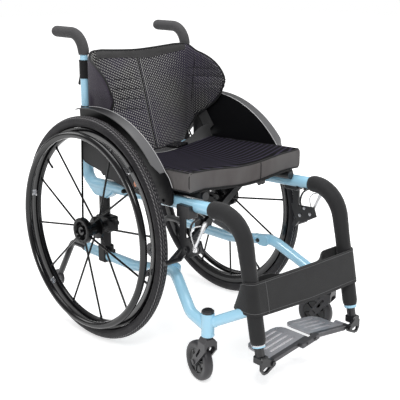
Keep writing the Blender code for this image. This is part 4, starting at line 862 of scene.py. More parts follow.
def build_lower_frames():
    """Lower rail, caster housing, strut to the leg and the lugs of the folding arm."""
    for side, way in (("left", 1), ("right", -1)):
        path = rounded([(FRAME_X, 0.106, RAIL_Z), (FRAME_X, -0.1, RAIL_Z),
                        (FRAME_X + 0.002, -0.262, 0.236), (FRAME_X + 0.0425, -0.365, 0.167),
                        (CASTER[0], CASTER[1] + 0.004, 0.153)],
                       [0.1, 0.055, 0.06], 14)
        rail = tube("rail", resample(path, 0.008), 0.0145, 32)
        levels = (0.129, 0.13, 0.133, 0.1335, 0.183, 0.1835, 0.186, 0.187)
        housing = tube("housing", [(*CASTER, z) for z in levels],
                       [0.0156, 0.0163, 0.0163, 0.0158, 0.0158, 0.0164, 0.0164, 0.0156], 40)
        near = Vector((*CASTER, 0.16))
        far = leg_point(0.21)
        strut = tube("strut", [near, far.lerp(near, 0.02)], 0.013, 32)
        run = (far - near).normalized()
        weld = tube("weld", [near + run * d for d in (0.014, 0.016, 0.0195, 0.0215)],
                    [0.0132, 0.0144, 0.0144, 0.0131], 32)
        sleeve = tube("sleeve_joint", [(FRAME_X, y, RAIL_Z) for y in (0.106, 0.1045, 0.098, 0.0965)],
                      [0.0146, 0.0154, 0.0154, 0.0145], 32)
        parts = [rail, housing, strut, weld, sleeve]
        arm = ARM_Y + way * 0.008
        turn = [(PIVOT[0] + 0.0105 * math.cos(a), PIVOT[1] + 0.0105 * math.sin(a))
                for a in (math.pi / 2 + math.pi * k / 12 for k in range(13))]
        turn += [(PIVOT[0] + 0.016, PIVOT[1] - 0.0105), (PIVOT[0] + 0.016, PIVOT[1] + 0.0105)]
        for low in (arm - 0.0098, arm + 0.0063):
            parts.append(slab("lug", turn, "y", low, low + 0.0035, 0.0007, 2))
        gusset = [(-0.223, 0.22), (-0.2225, 0.241), (-0.226, 0.2465), (-0.256, 0.25),
                  (-0.264, 0.244), (-0.26, 0.224), (-0.252, 0.217), (-0.228, 0.216)]
        parts.append(slab("gusset", gusset, "x", FRAME_X - 0.0205, FRAME_X - 0.008, 0.0022, 3))
        merge("lower", parts)
        if way < 0:
            mirror(rail.data)
        rail.name = side + "_lower_rail"
        place(rail, side + "_frame", "frame_blue", "frame_blue", side + "_lower_frame")
        pin = tube("pin", [(way * PIVOT[0], y, PIVOT[1]) for y in (arm - 0.0135, arm + 0.0115)], 0.004, 16)
        head = bolt("head", (way * PIVOT[0], arm - 0.01, PIVOT[1]), (0, -1, 0), 0.0072, 0.0045)
        merge(side + "_fold_pin", [pin, head])
        place(pin, side + "_frame", "black_metal", "black_metal")


def on_cane(name, heights, radii):
    """Turned piece round the upright's axis."""
    return tube(name, [(FRAME_X, UPRIGHT_Y, z) for z in heights], radii, 28)


def build_canes():
    path = rounded([(FRAME_X, UPRIGHT_Y, 0.6), (FRAME_X, UPRIGHT_Y, GRIP_Z),
                    (FRAME_X, 0.213, GRIP_Z)], [CANE_BEND], 14)
    upper = tube("cane", resample(path, 0.006), CANE_RADIUS, 28)
    pair(upper, "cane_upper", "frame", "frame_blue", "frame_blue", "back_cane")
    lower = on_cane("cane_lower",
                    (0.436, 0.4704, 0.4708, 0.483, 0.484, 0.4841, 0.5938, 0.5953, 0.5963, 0.6103,
                     0.6113),
                    [0.011, 0.011, 0.0142, 0.015, 0.0142, 0.0112, 0.0112, 0.0128, 0.0134, 0.0134,
                     0.0126])
    knob = bolt("knob", (FRAME_X, UPRIGHT_Y - 0.0125, 0.6035), (0.0, -1.0, 0.0), 0.004, 0.0035)
    merge("cane_lower", [lower, knob])
    pair(lower, "cane_lower", "frame", "black_metal", "black_metal")
    loop = on_cane("cane_loop", (0.6845, 0.6851, 0.6885, 0.689, 0.7285, 0.729, 0.7324, 0.733),
                   [0.0128, 0.014, 0.014, 0.0133, 0.0133, 0.014, 0.014, 0.0128])
    tail = slab("tail", [(UPRIGHT_Y + 0.008, 0.676), (UPRIGHT_Y + 0.022, 0.664), (UPRIGHT_Y + 0.026, 0.668),
                         (UPRIGHT_Y + 0.02, 0.684), (UPRIGHT_Y + 0.011, 0.698)], "x", FRAME_X - 0.004,
                FRAME_X + 0.004, 0.001)
    merge("cane_loop", [loop, tail])
    pair(loop, "cane_loop", "frame", "fabric_black", "binding")


def build_bolts():
    """Screws on the seat tubes and lower rails."""
    places = [((FRAME_X - 0.0062, y, seat_tube_z(y) - 0.0142), (-0.4, 0.0, -0.92), 0.0062, 0.006)
              for y in (-0.356, -0.38)]
    places += [
        ((FRAME_X + 0.014, -0.305, seat_tube_z(-0.305) - 0.007), (0.9, 0.0, -0.45), 0.0058, 0.0042),
        ((FRAME_X + 0.0115, -0.195, 0.232), (0.8, 0.0, 0.6), 0.006, 0.0042),
        ((FRAME_X - 0.0205, -0.2265, 0.23), (-1.0, 0.0, 0.0), 0.0062, 0.005)]
    parts = [bolt("bolt", *spot) for spot in places]
    merge("bolts", parts)
    pair(parts[0], "frame_bolts", "frame", "black_metal", "black_metal")


build_side_frames()
build_lower_frames()
build_canes()
build_bolts()


GUARD_X = 0.203
FENDER = (0.317, 0.32)


def build_guards():
    start, stop = math.acos(0.088 / FENDER[0]), math.acos(-0.253 / FENDER[0])
    arc = [(start + (stop - start) * i / 56) for i in range(57)]
    outline = [(FENDER[1] * math.cos(a), AXLE_HEIGHT + FENDER[1] * math.sin(a)) for a in arc]
    corner = spline([(*outline[-1], 0.0), (-0.268, 0.48, 0.0), (-0.281, 0.456, 0.0), (-0.2845, 0.434, 0.0),
                     (-0.28, 0.415, 0.0), (-0.268, 0.4105, 0.0)], 22)[1:]
    outline += [(p.x, p.y) for p in corner] + [(-0.21, 0.412)]
    rear = spline([(y, z, 0.0) for y, z in (
        (-0.15, 0.4175), (-0.1, 0.4235), (-0.034, 0.437), (0.0087, 0.4505), (0.0616, 0.4605),
        (0.08, 0.468), (0.085, 0.486), (0.085, 0.56))], 40)
    outline += [(p.x, p.y) for p in rear]
    panel = slab("guard", outline, "x", GUARD_X, GUARD_X + 0.004, 0.001, 2)
    bosses = []
    for y in (-0.247, -0.09):
        z = seat_tube_z(y) + 0.004
        bosses.append(tube("boss", [(FRAME_X + 0.0145, y, z), (GUARD_X + 0.002, y, z)], 0.006, 20))
        bosses.append(bolt("guard_screw", (GUARD_X + 0.004, y, z), (1, 0, 0), 0.0052, 0.0034))
    merge("guard", [panel] + bosses)
    pair(panel, "guard_panel", "frame", "guard_black", "guard_black", "side_guard")

    section = [(0.2042, 0.3172), (0.2338, 0.317), (0.2349, 0.3174), (0.235, 0.3186), (0.234, 0.3196),
               (0.23, 0.3199), (0.208, 0.32), (0.2046, 0.3198)]
    bm = bmesh.new()
    loops = []
    for i, a in enumerate(arc):
        end = min(1.0, 0.55 + 0.45 * min(i, len(arc) - 1 - i) / 4)
        loops.append([bm.verts.new((0.204 + (x - 0.204) * end, r * math.cos(a),
                                    AXLE_HEIGHT + r * math.sin(a))) for x, r in section])
    grid_faces(bm, loops, closed=True)
    bm.faces.new(loops[0])
    bm.faces.new(loops[-1])
    lip = to_object(bm, "lip", 30.0)
    pair(lip, "guard_rim", "frame", "guard_black", "lip")
    # Thin pale tube along the lip's inner edge: a painted highlight line.
    line = [(0.2046, 0.3199 * math.cos(a), AXLE_HEIGHT + 0.3199 * math.sin(a)) for a in arc[6:]]
    line += [(0.2046, p.x, p.y) for p in corner[1:8]]
    edge = tube("edge", line, 0.0009, 8)
    pair(edge, "guard_edge_highlight", "frame", "guard_black", "edge_white")
    disc = lathe("reflector", [(0.207, 0.0), (0.2094, 0.0), (0.2096, 0.0072), (0.209, 0.0084),
                               (0.207, 0.0086)], Matrix.Translation((0.0, -0.146, 0.443)), 32)
    pair(disc, "guard_reflector", "frame", "guard_black", "orange")


build_guards()


BACK_HALF = 0.006
PANEL_X = 0.16
PANEL_CELLS = 80
WING_CELLS = 34
BACK_ROWS = 44
CORNER_Y = 0.0778
WING_REACH = 0.125
NOSE_Z = 0.648
BACK_STITCHES = (0.672, 0.645, 0.618, 0.591)
WING_STITCHES = (0.686, 0.663, 0.64)


def wing_line(z):
    """Mid-line of a wing at a height, from the panel's edge round the cane to the nose."""
    side = 0.204 - 0.0085 * (1.0 - clamp((z - 0.636) / 0.03))
    points = [(PANEL_X, CORNER_Y), (0.17, CORNER_Y - 0.0012), (0.18, CORNER_Y - 0.0065),
              (0.1862, CORNER_Y - 0.016), (side - 0.011, CORNER_Y - 0.033),
              (side - 0.0035, CORNER_Y - 0.072), (side, CORNER_Y - WING_REACH)]
    line = spline([(x, y, 0.0) for x, y in points], 121)
    out = []
    for j in range(WING_CELLS + 1):
        at = 120 * math.sin(math.pi / 2 * j / WING_CELLS)
        k = min(119, int(at))
        out.append(line[k].lerp(line[k + 1], at - k))
    return out


def back_heights(x, y):
    """Lower and upper hem of the back where its mid-line passes x, y."""
    x = abs(x)
    low = 0.478 + 0.055 * min(1.0, max(0.0, x - 0.15) / 0.04) ** 1.5
    high = 0.7465 + 0.0085 * min(1.0, x / 0.13) ** 1.5
    past = clamp((x - PANEL_X + CORNER_Y - y) / 0.06)
    high -= 0.018 * past * past * (3 - 2 * past)
    t = clamp((CORNER_Y - y) / WING_REACH)
    top = NOSE_Z + (high - NOSE_Z) * math.sqrt(1.0 - t ** 1.4)
    bottom = NOSE_Z + (low - NOSE_Z) * math.sqrt(1.0 - t ** 0.8)
    return bottom - 0.002 * (t > 0.99), top + 0.002 * (t > 0.99)


def back_middle(x, z):
    middle = min(0.093 + 0.31 * (z - 0.71), 0.1)
    share = abs(x) / PANEL_X
    return middle + (CORNER_Y - middle) * share ** 2


def back_surface():
    """Mid surface of the whole back and its normals towards the sitter, as rows by columns."""
    columns = []
    base = wing_line(0.66)
    for j in range(PANEL_CELLS // 2 + 1):
        x = PANEL_X * j / (PANEL_CELLS // 2)
        low, high = back_heights(x, CORNER_Y)
        column = []
        for i in range(BACK_ROWS + 1):
            z = low + (high - low) * i / BACK_ROWS
            column.append((x, back_middle(x, z), z))
        columns.append(column)
    lines = {}
    for j in range(1, WING_CELLS + 1):
        low, high = back_heights(base[j].x, base[j].y)
        column = []
        for i in range(BACK_ROWS + 1):
            z = low + (high - low) * i / BACK_ROWS
            key = round(z, 3)
            if key not in lines:
                lines[key] = wing_line(key)
            spot = lines[key][j]
            column.append((spot.x, spot.y, z))
        columns.append(column)
    half = np.array(columns)
    mirror = half[:0:-1] * np.array([-1.0, 1.0, 1.0])
    grid = np.concatenate([mirror, half]).transpose(1, 0, 2)
    x, z = grid[..., 0], grid[..., 2]
    grid[..., 1] += 0.001 * np.sin(31 * x + 17 * z) * np.sin(23 * z - 9 * x)
    along = np.gradient(grid, axis=1)
    up = np.gradient(grid, axis=0)
    normal = np.cross(along, up)
    normal /= np.maximum(np.linalg.norm(normal, axis=2, keepdims=True), 1e-12)
    return grid, normal


BACK_GRID, BACK_NORMAL = back_surface()
BACK_MID = BACK_GRID.shape[1] // 2


def back_spot(column, z, offset):
    """Point in front of the mid surface at a column (0 in the middle) and height."""
    j = column + BACK_MID
    k = min(BACK_GRID.shape[1] - 2, max(0, int(math.floor(j))))
    f = j - k
    grid = BACK_GRID[:, k] * (1 - f) + BACK_GRID[:, k + 1] * f
    normal = BACK_NORMAL[:, k] * (1 - f) + BACK_NORMAL[:, k + 1] * f
    point = [np.interp(z, grid[:, 2], grid[:, a]) for a in range(3)]
    way = Vector([float(np.interp(z, grid[:, 2], normal[:, a])) for a in range(3)]).normalized()
    return Vector([float(v) for v in point]) + way * offset


def back_column_of(x):
    return x / PANEL_X * (PANEL_CELLS // 2)


def back_half_thickness(i, column, x, z, front):
    """Full between the seams, drawn in along stitches and thin at the bound edge."""
    edge = min(i, BACK_ROWS - i) / BACK_ROWS * 0.26
    nose = (BACK_MID - abs(column)) / WING_CELLS * 0.1
    rim = min(1.0, edge / 0.016, (nose + 0.004) / 0.018)
    half = BACK_HALF * (0.5 + 0.5 * math.sin(rim * math.pi / 2))
    if front:
        half -= 0.0034 * math.exp(-(x / 0.004) ** 2)
        if x < -0.006 and x > -0.105:
            half -= sum(0.0016 * math.exp(-((z - s) / 0.003) ** 2) for s in BACK_STITCHES)
        if abs(column) > PANEL_CELLS // 2:
            half -= sum(0.0013 * math.exp(-((z - s) / 0.003) ** 2) for s in WING_STITCHES)
    return half


def back_piece(name, first, last):
    """Closed skin over a span of columns; the side away from the sitter is plain cloth."""
    front, rear, uvs = [], [], []
    for i in range(BACK_ROWS + 1):
        f, r, u = [], [], []
        for column in range(first, last + 1):
            j = column + BACK_MID
            point = Vector(BACK_GRID[i, j])
            way = Vector(BACK_NORMAL[i, j])
            f.append(point + way * back_half_thickness(i, column, point.x, point.z, True))
            r.append(point - way * back_half_thickness(i, column, point.x, point.z, False))
            across = point.x
            if abs(column) > PANEL_CELLS // 2:
                across = math.copysign(PANEL_X + CORNER_Y - point.y + abs(across) - PANEL_X, across)
            u.append((across, point.z))
        front.append(f)
        rear.append(r)
        uvs.append(u)
    piece = shell(name, front, rear, uvs)
    piece.data.materials.append(LOOKS["mesh"])
    piece.data.materials.append(LOOKS["panel"])
    cells = BACK_ROWS * (last - first)
    piece.data.polygons.foreach_set(
        "material_index", [0 if k < cells else 1 for k in range(len(piece.data.polygons))])
    return piece


def finish_back(piece, side, look=None, squashed=False):
    """Ties a piece of the back to its frame; the panel's pieces get their own copy of their mesh."""
    if look:
        piece.data.materials.append(LOOKS[look])
    shift(piece)
    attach(piece, side + "_frame")
    if squashed:
        narrow(piece)
    return piece


def edge_points(first, last, row, way=1):
    return [Vector(BACK_GRID[row, way * c + BACK_MID]) for c in range(first, last + 1)]


def build_backrest():
    half = PANEL_CELLS // 2
    panel = finish_back(back_piece("back_panel", -half, half), "left", squashed=True)
    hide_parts("backrest")
    for name, row, radius in (("back_low_binding", 0, 0.003), ("back_top_binding", BACK_ROWS, 0.0036)):
        finish_back(tube(name, edge_points(-half, half, row), radius, 10), "left", "binding", True)
    for side, way in (("left", 1), ("right", -1)):
        first, last = (half, half + WING_CELLS) if way > 0 else (-half - WING_CELLS, -half)
        wing = finish_back(back_piece(side + "_back_wing", first, last), side)
        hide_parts("backrest")
        top = edge_points(half, half + WING_CELLS, BACK_ROWS, way)
        low = edge_points(half, half + WING_CELLS, 0, way)
        line = resample(top + low[::-1], 0.004)
        finish_back(tube(side + "_wing_binding", line, 0.0033, 10), side, "binding")
        threads = []
        for z in WING_STITCHES:
            reach = half + WING_CELLS * 0.62
            path = [back_spot(way * c, z, BACK_HALF - 0.001) for c in np.linspace(half + 1, reach, 20)]
            threads.append(tube("stitch", path, 0.0007, 6))
        path = [back_spot(way * (half + 9.0 + 3.0 * (z - 0.6) / 0.1), z, BACK_HALF)
                for z in np.linspace(0.565, 0.722, 24)]
        threads.append(tube("stitch", path, 0.0009, 6))
        finish_back(merge(side + "_wing_stitches", threads), side, "binding")

    seam = [back_spot(back_column_of(-0.0002), z, BACK_HALF - 0.0022)
            for z in np.linspace(0.4835, 0.72, 40)]
    threads = [tube("seam", seam, 0.002, 10)]
    for (xa, za), (xb, zb) in (((-0.099, 0.674), (-0.008, 0.668)), ((-0.1, 0.649), (-0.006, 0.641)),
                               ((-0.097, 0.623), (-0.006, 0.614)), ((-0.091, 0.596), (-0.006, 0.586))):
        path = [back_spot(back_column_of(xa + (xb - xa) * t), za + (zb - za) * t, BACK_HALF - 0.0008)
                for t in np.linspace(0, 1, 20)]
        threads.append(tube("stitch", path, 0.0009, 6))
    finish_back(merge("back_seams", threads), "left", "binding", True)

    front, rear, uvs = [], [], []
    for share in (0.0, 0.2, 0.4, 0.6, 0.8, 1.0):
        f, r, u = [], [], []
        for x in np.linspace(-PANEL_X, PANEL_X, 65):
            _, high = back_heights(x, CORNER_Y)
            low = np.interp(x, (-0.16, -0.13, -0.027, 0.0, 0.045, 0.121, 0.16),
                            (0.737, 0.734, 0.726, 0.723, 0.722, 0.733, 0.74))
            z = low + (high - 0.0015 - low) * share
            lift = BACK_HALF * (1.1 - 0.42 * max(0.0, share - 0.55) / 0.45)
            f.append(back_spot(back_column_of(x), z, lift + 0.0007))
            r.append(back_spot(back_column_of(x), z, lift - 0.0012))
            u.append((x, z))
        front.append(f)
        rear.append(r)
        uvs.append(u)
    finish_back(shell("back_top_hem", front, rear, uvs), "left", "hem", True)


build_backrest()


CUSHION_HALF_WIDTH = 0.2015
CUSHION_FRONT = -0.34
CUSHION_REAR = 0.014
CUSHION_THICKNESS = 0.051
CLOTH_FRAMES = 20


def simulate(obj, pressure, cap):
    """Inflates a closed mesh a little with the cloth solver and keeps the result."""
    rest = np.zeros(len(obj.data.vertices) * 3)
    obj.data.vertices.foreach_get("co", rest)
    rest = rest.reshape(-1, 3)
    cloth = obj.modifiers.new("Cloth", "CLOTH")
    cloth.settings.use_pressure = True
    cloth.settings.uniform_pressure_force = pressure
    cloth.settings.effector_weights.gravity = 0.0
    cloth.settings.quality = 5
    cloth.settings.tension_stiffness = 25.0
    cloth.settings.compression_stiffness = 25.0
    scene = bpy.context.scene
    for number in range(1, CLOTH_FRAMES + 1):
        scene.frame_set(number)
    graph = bpy.context.evaluated_depsgraph_get()
    evaluated = obj.evaluated_get(graph)
    moved = np.zeros(len(rest) * 3)
    evaluated.data.vertices.foreach_get("co", moved)
    obj.modifiers.clear()
    step = moved.reshape(-1, 3) - rest
    length = np.linalg.norm(step, axis=1, keepdims=True)
    step *= np.minimum(1.0, cap / np.maximum(length, 1e-9))
    obj.data.vertices.foreach_set("co", (rest + step).astype(np.float32).ravel())
    obj.data.update()
    scene.frame_set(1)


def cushion_form(inset):
    """Wedge with rounded edges, a little smaller than the room for the cushion."""
    bm = bmesh.new()
    corners = []
    for y in (CUSHION_FRONT + inset, CUSHION_REAR - inset):
        for x in (-CUSHION_HALF_WIDTH + inset, CUSHION_HALF_WIDTH - inset):
            for z in (seat_top(y) + 0.5 * inset, seat_top(y) + CUSHION_THICKNESS - inset):
                corners.append(bm.verts.new((x, y, z)))
    quads = ((0, 1, 3, 2), (4, 6, 7, 5), (0, 4, 5, 1), (2, 3, 7, 6), (0, 2, 6, 4), (1, 5, 7, 3))
    for quad in quads:
        bm.faces.new([corners[i] for i in quad])
    bmesh.ops.recalc_face_normals(bm, faces=bm.faces)
    bmesh.ops.bevel(bm, geom=bm.edges[:], offset=0.004, segments=2, affect="EDGES")
    return to_object(bm, "seat_pad")


def remesh(obj, size):
    modifier = obj.modifiers.new("Remesh", "REMESH")
    modifier.mode = "VOXEL"
    modifier.voxel_size = size
    graph = bpy.context.evaluated_depsgraph_get()
    mesh = bpy.data.meshes.new_from_object(obj.evaluated_get(graph))
    obj.modifiers.clear()
    obj.data = mesh
    return obj


def bend(piece):
    """Bakes the piece's placement into its mesh."""
    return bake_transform(piece)


def build_cushion():
    pad = remesh(cushion_form(0.004), 0.005)
    simulate(pad, 3.5, 0.0055)
    mesh = pad.data
    mesh.polygons.foreach_set("use_smooth", [True] * len(mesh.polygons))
    spots = np.array([v.co for v in mesh.vertices])
    levels = spots[:, 2] - seat_top(spots[:, 1])
    reach = np.abs(spots[:, 0]) / np.abs(spots[:, 0]).max()
    rim = levels[reach > 0.96]
    base, height = rim.min(), rim.max() - rim.min()
    half = CUSHION_HALF_WIDTH - 0.0024
    middle, depth = (CUSHION_FRONT + CUSHION_REAR) / 2, (CUSHION_REAR - CUSHION_FRONT) / 2 - 0.0004
    wide = 1.022 * half / spots[:, 0].max()
    first, last = spots[:, 1].min(), spots[:, 1].max()
    centre, deep = (last + first) / 2, 1.022 * 2 * depth / (last - first)
    for vert, level in zip(mesh.vertices, levels):
        x = min(half, max(-half, vert.co.x * wide))
        y = middle + min(depth, max(-depth, (vert.co.y - centre) * deep))
        share = -0.06 + 1.12 * (level - base) / height
        crown = 0.003 * min(1.0, max(0.0, share - 1.0) / 0.12)
        z = clamp(share) * (CUSHION_THICKNESS - 0.0012) + crown
        bulge = max(0.0, 1 - (x / half) ** 2)
        pucker = 0.0011 * math.sin(85 * x + 2.0 * math.sin(23 * x)) * bulge * min(1.0, z / 0.02)
        if y < CUSHION_FRONT + 0.01:
            y += 0.0012 + pucker
        vert.co = (x, y, seat_top(y) + 0.0004 + z - seat_sag(x))
    mesh.update()
    wall = mesh.attributes.new("wall", "FLOAT", "POINT")
    wall.data.foreach_set("value", [clamp((0.8 - v.normal.z) / 0.3) for v in mesh.vertices])
    subdivision = pad.modifiers.new("Subdivision", "SUBSURF")
    subdivision.levels = subdivision.render_levels = 1
    place(pad, None, "fabric_black", "cushion", "seat_cushion")
    bend(pad)
    skin = BVHTree.FromPolygons([v.co.copy() for v in mesh.vertices],
                                [tuple(p.vertices) for p in mesh.polygons])

    def laid(point):
        """Nearest place just over the cushion's skin, which has already moved by AXLE_Y."""
        moved = Vector((0.0, AXLE_Y, 0.0))
        spot, normal, _, _ = skin.find_nearest(point + moved)
        return spot + normal * 0.0006 - moved

    inset = 0.003
    half, front, rear = CUSHION_HALF_WIDTH - inset, CUSHION_FRONT + inset, CUSHION_REAR - inset
    outline = rounded([(0.0, front, 0.0), (-half, front, 0.0), (-half, rear, 0.0), (half, rear, 0.0),
                       (half, front, 0.0), (0.0, front, 0.0)], [0.01] * 4, 6)
    for name, level in (("cushion_low_piping", 0.002), ("cushion_top_piping", CUSHION_THICKNESS - 0.002)):
        path = [laid(Vector((p.x, p.y, seat_top(p.y) - seat_sag(p.x) + level)))
                for p in resample(outline, 0.01)[:-1]]
        piping = tube(name, path, 0.0019, 8, closed=True)
        bend(place(piping, None, "fabric_black", "binding"))
    seams = []
    for x, y in ((-half + 0.0035, front + 0.0035), (0.045, front - 0.0015)):
        path = [laid(Vector((x, y - 0.0008, seat_top(y) - seat_sag(x) + z)))
                for z in (0.004, 0.014, 0.022, 0.03, 0.038, 0.047)]
        seams.append(tube("seam", path, 0.0011, 6))
    bend(place(merge("cushion_seams", seams), None, "fabric_black", "binding"))


def build_sling():
    """Cloth over both seat rails and down their sides, hemmed at its two ends."""
    y0, y1 = -0.341, 0.0125
    rows = 25
    edge = [(0.166, 0.0105), (0.1673, 0.004), (0.1675, -0.003)]
    profile = [(-x, z) for x, z in edge[::-1]]
    profile += [(x, 0.0113) for x in np.linspace(-0.16, 0.16, 33)] + edge
    front, rear, uvs = [], [], []
    for i in range(rows):
        y = y0 + (y1 - y0) * i / (rows - 1)
        base = seat_rail_z(y)
        hem = 0.0006 if min(i, rows - 1 - i) < 2 else 0.0
        front.append([Vector((x, y, base + z + 0.0013 - seat_sag(x) + (hem if abs(x) < 0.16 else 0.0)))
                      for x, z in profile])
        rear.append([Vector((x * 0.9985, y, base + z + 0.0001 - seat_sag(x))) for x, z in profile])
        uvs.append([(x, y) for x, _ in profile])
    sling = shell("seat_sling_cloth", front, rear, uvs)
    place(sling, None, "fabric_black", "sling", "seat_sling")
    bend(sling)


BELT_WIDTH = 0.038
BELT_THICKNESS = 0.0022
BUCKLE_AT = 34


def belt_run(name, marks, count, start=0.0):
    """Length of webbing through (point, direction across) marks."""
    smooth = spline([p for p, _ in marks], count)
    turns = spline([w for _, w in marks], count)
    normals, ways = [], []
    for i in range(count):
        way = (smooth[min(count - 1, i + 1)] - smooth[max(0, i - 1)]).normalized()
        ways.append((turns[i] - way * turns[i].dot(way)).normalized())
        normals.append(way.cross(ways[-1]))
    return smooth, normals, ways, ribbon(name, smooth, normals, ways, start)


def build_belt():
    """Lap belt laid across the cushion, its left end standing up, with a tail and a buckle."""
    top = CUSHION_THICKNESS + 0.0024
    flat, upright = Vector((0.05, 1.0, -SEAT_SLOPE)), Vector((0.0, 0.25, 1.0))
    marks = [(Vector((x, y, seat_top(y) - seat_sag(x) + top + lift)), flat.lerp(upright, turned))
             for x, y, lift, turned in (
                 (-0.15, -0.024, 0.0, 0.0), (-0.1, -0.032, 0.0, 0.0), (-0.05, -0.033, 0.0, 0.0),
                 (-0.006, -0.026, 0.0, 0.0), (0.035, -0.018, 0.0, 0.0), (0.075, -0.013, 0.0, 0.0),
                 (0.105, -0.01, 0.001, 0.05), (0.13, -0.008, 0.004, 0.25), (0.153, -0.006, 0.0105, 0.6),
                 (0.172, -0.004, 0.0155, 0.9), (0.19, -0.002, 0.017, 1.0))]
    smooth, normals, ways, belt = belt_run("lap_belt_webbing", marks, 80)
    tail = [(Vector(spot), Vector((0.0, 0.77, -0.63)))
            for spot in ((0.1932, 0.002, 0.513), (0.1944, 0.024, 0.54), (0.1955, 0.045, 0.566))]
    merge("lap_belt_webbing", [belt, belt_run("belt_tail", tail, 12, 0.5)[3]])
    bend(place(belt, None, "fabric_black", "belt", "lap_belt"))
    k = BUCKLE_AT
    along = (smooth[k + 1] - smooth[k - 1]).normalized()
    outline = []
    for cx, cy, start in ((0.02, 0.017, 0), (-0.02, 0.017, 1), (-0.02, -0.017, 2), (0.02, -0.017, 3)):
        for s in range(5):
            a = math.pi / 2 * (start + s / 4)
            outline.append((cx + 0.006 * math.cos(a), cy + 0.006 * math.sin(a)))
    buckle = slab("belt_buckle", outline, "z", 0.0012, 0.0075, 0.0018, 3)
    frame_axes = Matrix((along, ways[k], normals[k])).transposed().to_4x4()
    buckle.data.transform(Matrix.Translation(smooth[k]) @ frame_axes)
    bend(place(buckle, None, "black_metal", "gloss_black"))


build_cushion()
build_sling()
build_belt()


STRAP_TOP = 0.2755
STRAP_BOTTOM = 0.191
STRAP_RADIUS = 0.0215
STRAP_HALF = 0.0015
STRAP_FLARE = 0.04
STRAP_ROWS = 16
STRAP_ROW_UV = 0.0055
STRAP_THREADS = (0.09, 0.955)


def strap_point(x, share, reach, lift=0.0):
    """Point of the strap: share 0 at the lower edge, reach signed towards the rear."""
    near = clamp(-x / LEG_X)
    rear = max(0.0, reach / STRAP_RADIUS)
    top = STRAP_TOP + 0.0025 * near - 0.013 * near * min(1.0, rear)
    low = STRAP_BOTTOM + 0.009 * near
    base = leg_point(low + (top - low) * share, x)
    reach += lift
    return Vector((x, base.y + reach / -leg_way().z + STRAP_FLARE * (1.0 - share) * rear, base.z))


def strap_rear_reach(x):
    """The rear layer leaves the far leg at an angle and lies against the front layer."""
    close = 0.004 - STRAP_RADIUS
    t = clamp((x - 0.04) / 0.085 if x > 0 else (-0.085 - x) / 0.04)
    return close + (STRAP_RADIUS - close) * t * t * (3 - 2 * t)


def strap_ripple(x, share):
    loose = 1 - (x / LEG_X) ** 2
    return loose * (0.0004 + 0.0009 * (0.5 + 0.5 * math.sin(26 * x + 3.5 * share)) * (1.1 - share))


def build_strap():
    steps = range(STRAP_ROWS + 1)
    turns = [-math.pi / 2 + math.pi * k / 28 for k in range(29)]
    for side, way in (("left", 1), ("right", -1)):
        def around(share, lift):
            """A row of the loop round the leg."""
            return [strap_point(way * (LEG_X + (STRAP_RADIUS + lift) * math.cos(a)), share,
                                STRAP_RADIUS * math.sin(a), lift * math.sin(a)) for a in turns]
        front, rear = [[around(i / STRAP_ROWS, half) for i in steps] for half in (STRAP_HALF, -STRAP_HALF)]
        uvs = [[(k * 0.0024, i * STRAP_ROW_UV) for k in range(29)] for i in steps]
        loop = shell(side + "_strap_loop", front, rear, uvs)
        place(loop, side + "_frame", "fabric_black", "strap", "calf_strap")
        threads = [tube("thread", around(level, 0.0017), 0.0005, 6) for level in STRAP_THREADS]
        place(merge(side + "_strap_threads", threads), side + "_frame", "fabric_black", "thread")
    across = np.linspace(-LEG_X, LEG_X, 81)
    for name, sign in (("strap_front", -1), ("strap_rear", 1)):
        def spot(x, share, lift):
            reach = -STRAP_RADIUS - strap_ripple(x, share) if sign < 0 else strap_rear_reach(x)
            return strap_point(x, share, reach, lift)
        front, rear = [[[spot(x, i / STRAP_ROWS, half) for x in across] for i in steps]
                       for half in (sign * STRAP_HALF, -sign * STRAP_HALF)]
        uvs = [[(x, i * STRAP_ROW_UV) for x in across] for i in steps]
        band = shell(name, front, rear, uvs)
        narrow(place(band, "left_frame", "fabric_black", "strap", "calf_strap"))
        threads = [tube("thread", [spot(x, level, sign * 0.0017) for x in across], 0.0005, 6)
                   for level in STRAP_THREADS]
        if sign < 0:
            path = [spot(-0.149 + 0.0015 * math.sin(3 * s), s, -0.0017)
                    for s in np.linspace(0.04, 0.97, 14)]
            threads.append(tube("thread", path, 0.0006, 6))
        merge(name + "_threads", threads)
        narrow(place(threads[0], "left_frame", "fabric_black", "thread"))


build_strap()


SLEEVE_END = 0.1285


def build_sleeves():
    bend_start = (FRAME_X, TAPER_Y, seat_tube_z(TAPER_Y))
    tip = leg_point(SLEEVE_END)
    path = [Vector((FRAME_X, TAPER_Y + 0.004, seat_tube_z(TAPER_Y + 0.004))), Vector(bend_start)]
    path += rounded([bend_start, (LEG_X, KNEE_Y, seat_tube_z(KNEE_Y)), tuple(tip)], [0.085], 24)[1:]
    path = resample(path, 0.0045)
    total = len(path) - 1
    radii = []
    for i, p in enumerate(path):
        share = clamp((0.4 - p.z) / 0.1)
        radius = 0.0215 + (0.019 - 0.0215) * share
        if 0.3 < p.z < 0.42:
            radius -= 0.00035 * (0.5 + 0.5 * math.sin(i * 1.9))
        end = min(i, total - i)
        radii.append(radius - (0.0028, 0.0012, 0.0004)[end] if end < 3 else radius)
    sleeve = tube("sleeve", path, radii, 36)
    pair(sleeve, "leg_foam", "frame", "foam_black", "foam_black", "leg_sleeve")
    # The right copy of this ring is painted silver as a painted highlight.
    ring = tube("ring", [tip + leg_way() * d for d in (-0.001, 0.0006, 0.0022, 0.003)],
                [0.0161, 0.0165, 0.0165, 0.0161], 32)
    pair(ring, "leg_ring", "frame", "frame_blue", "ring")


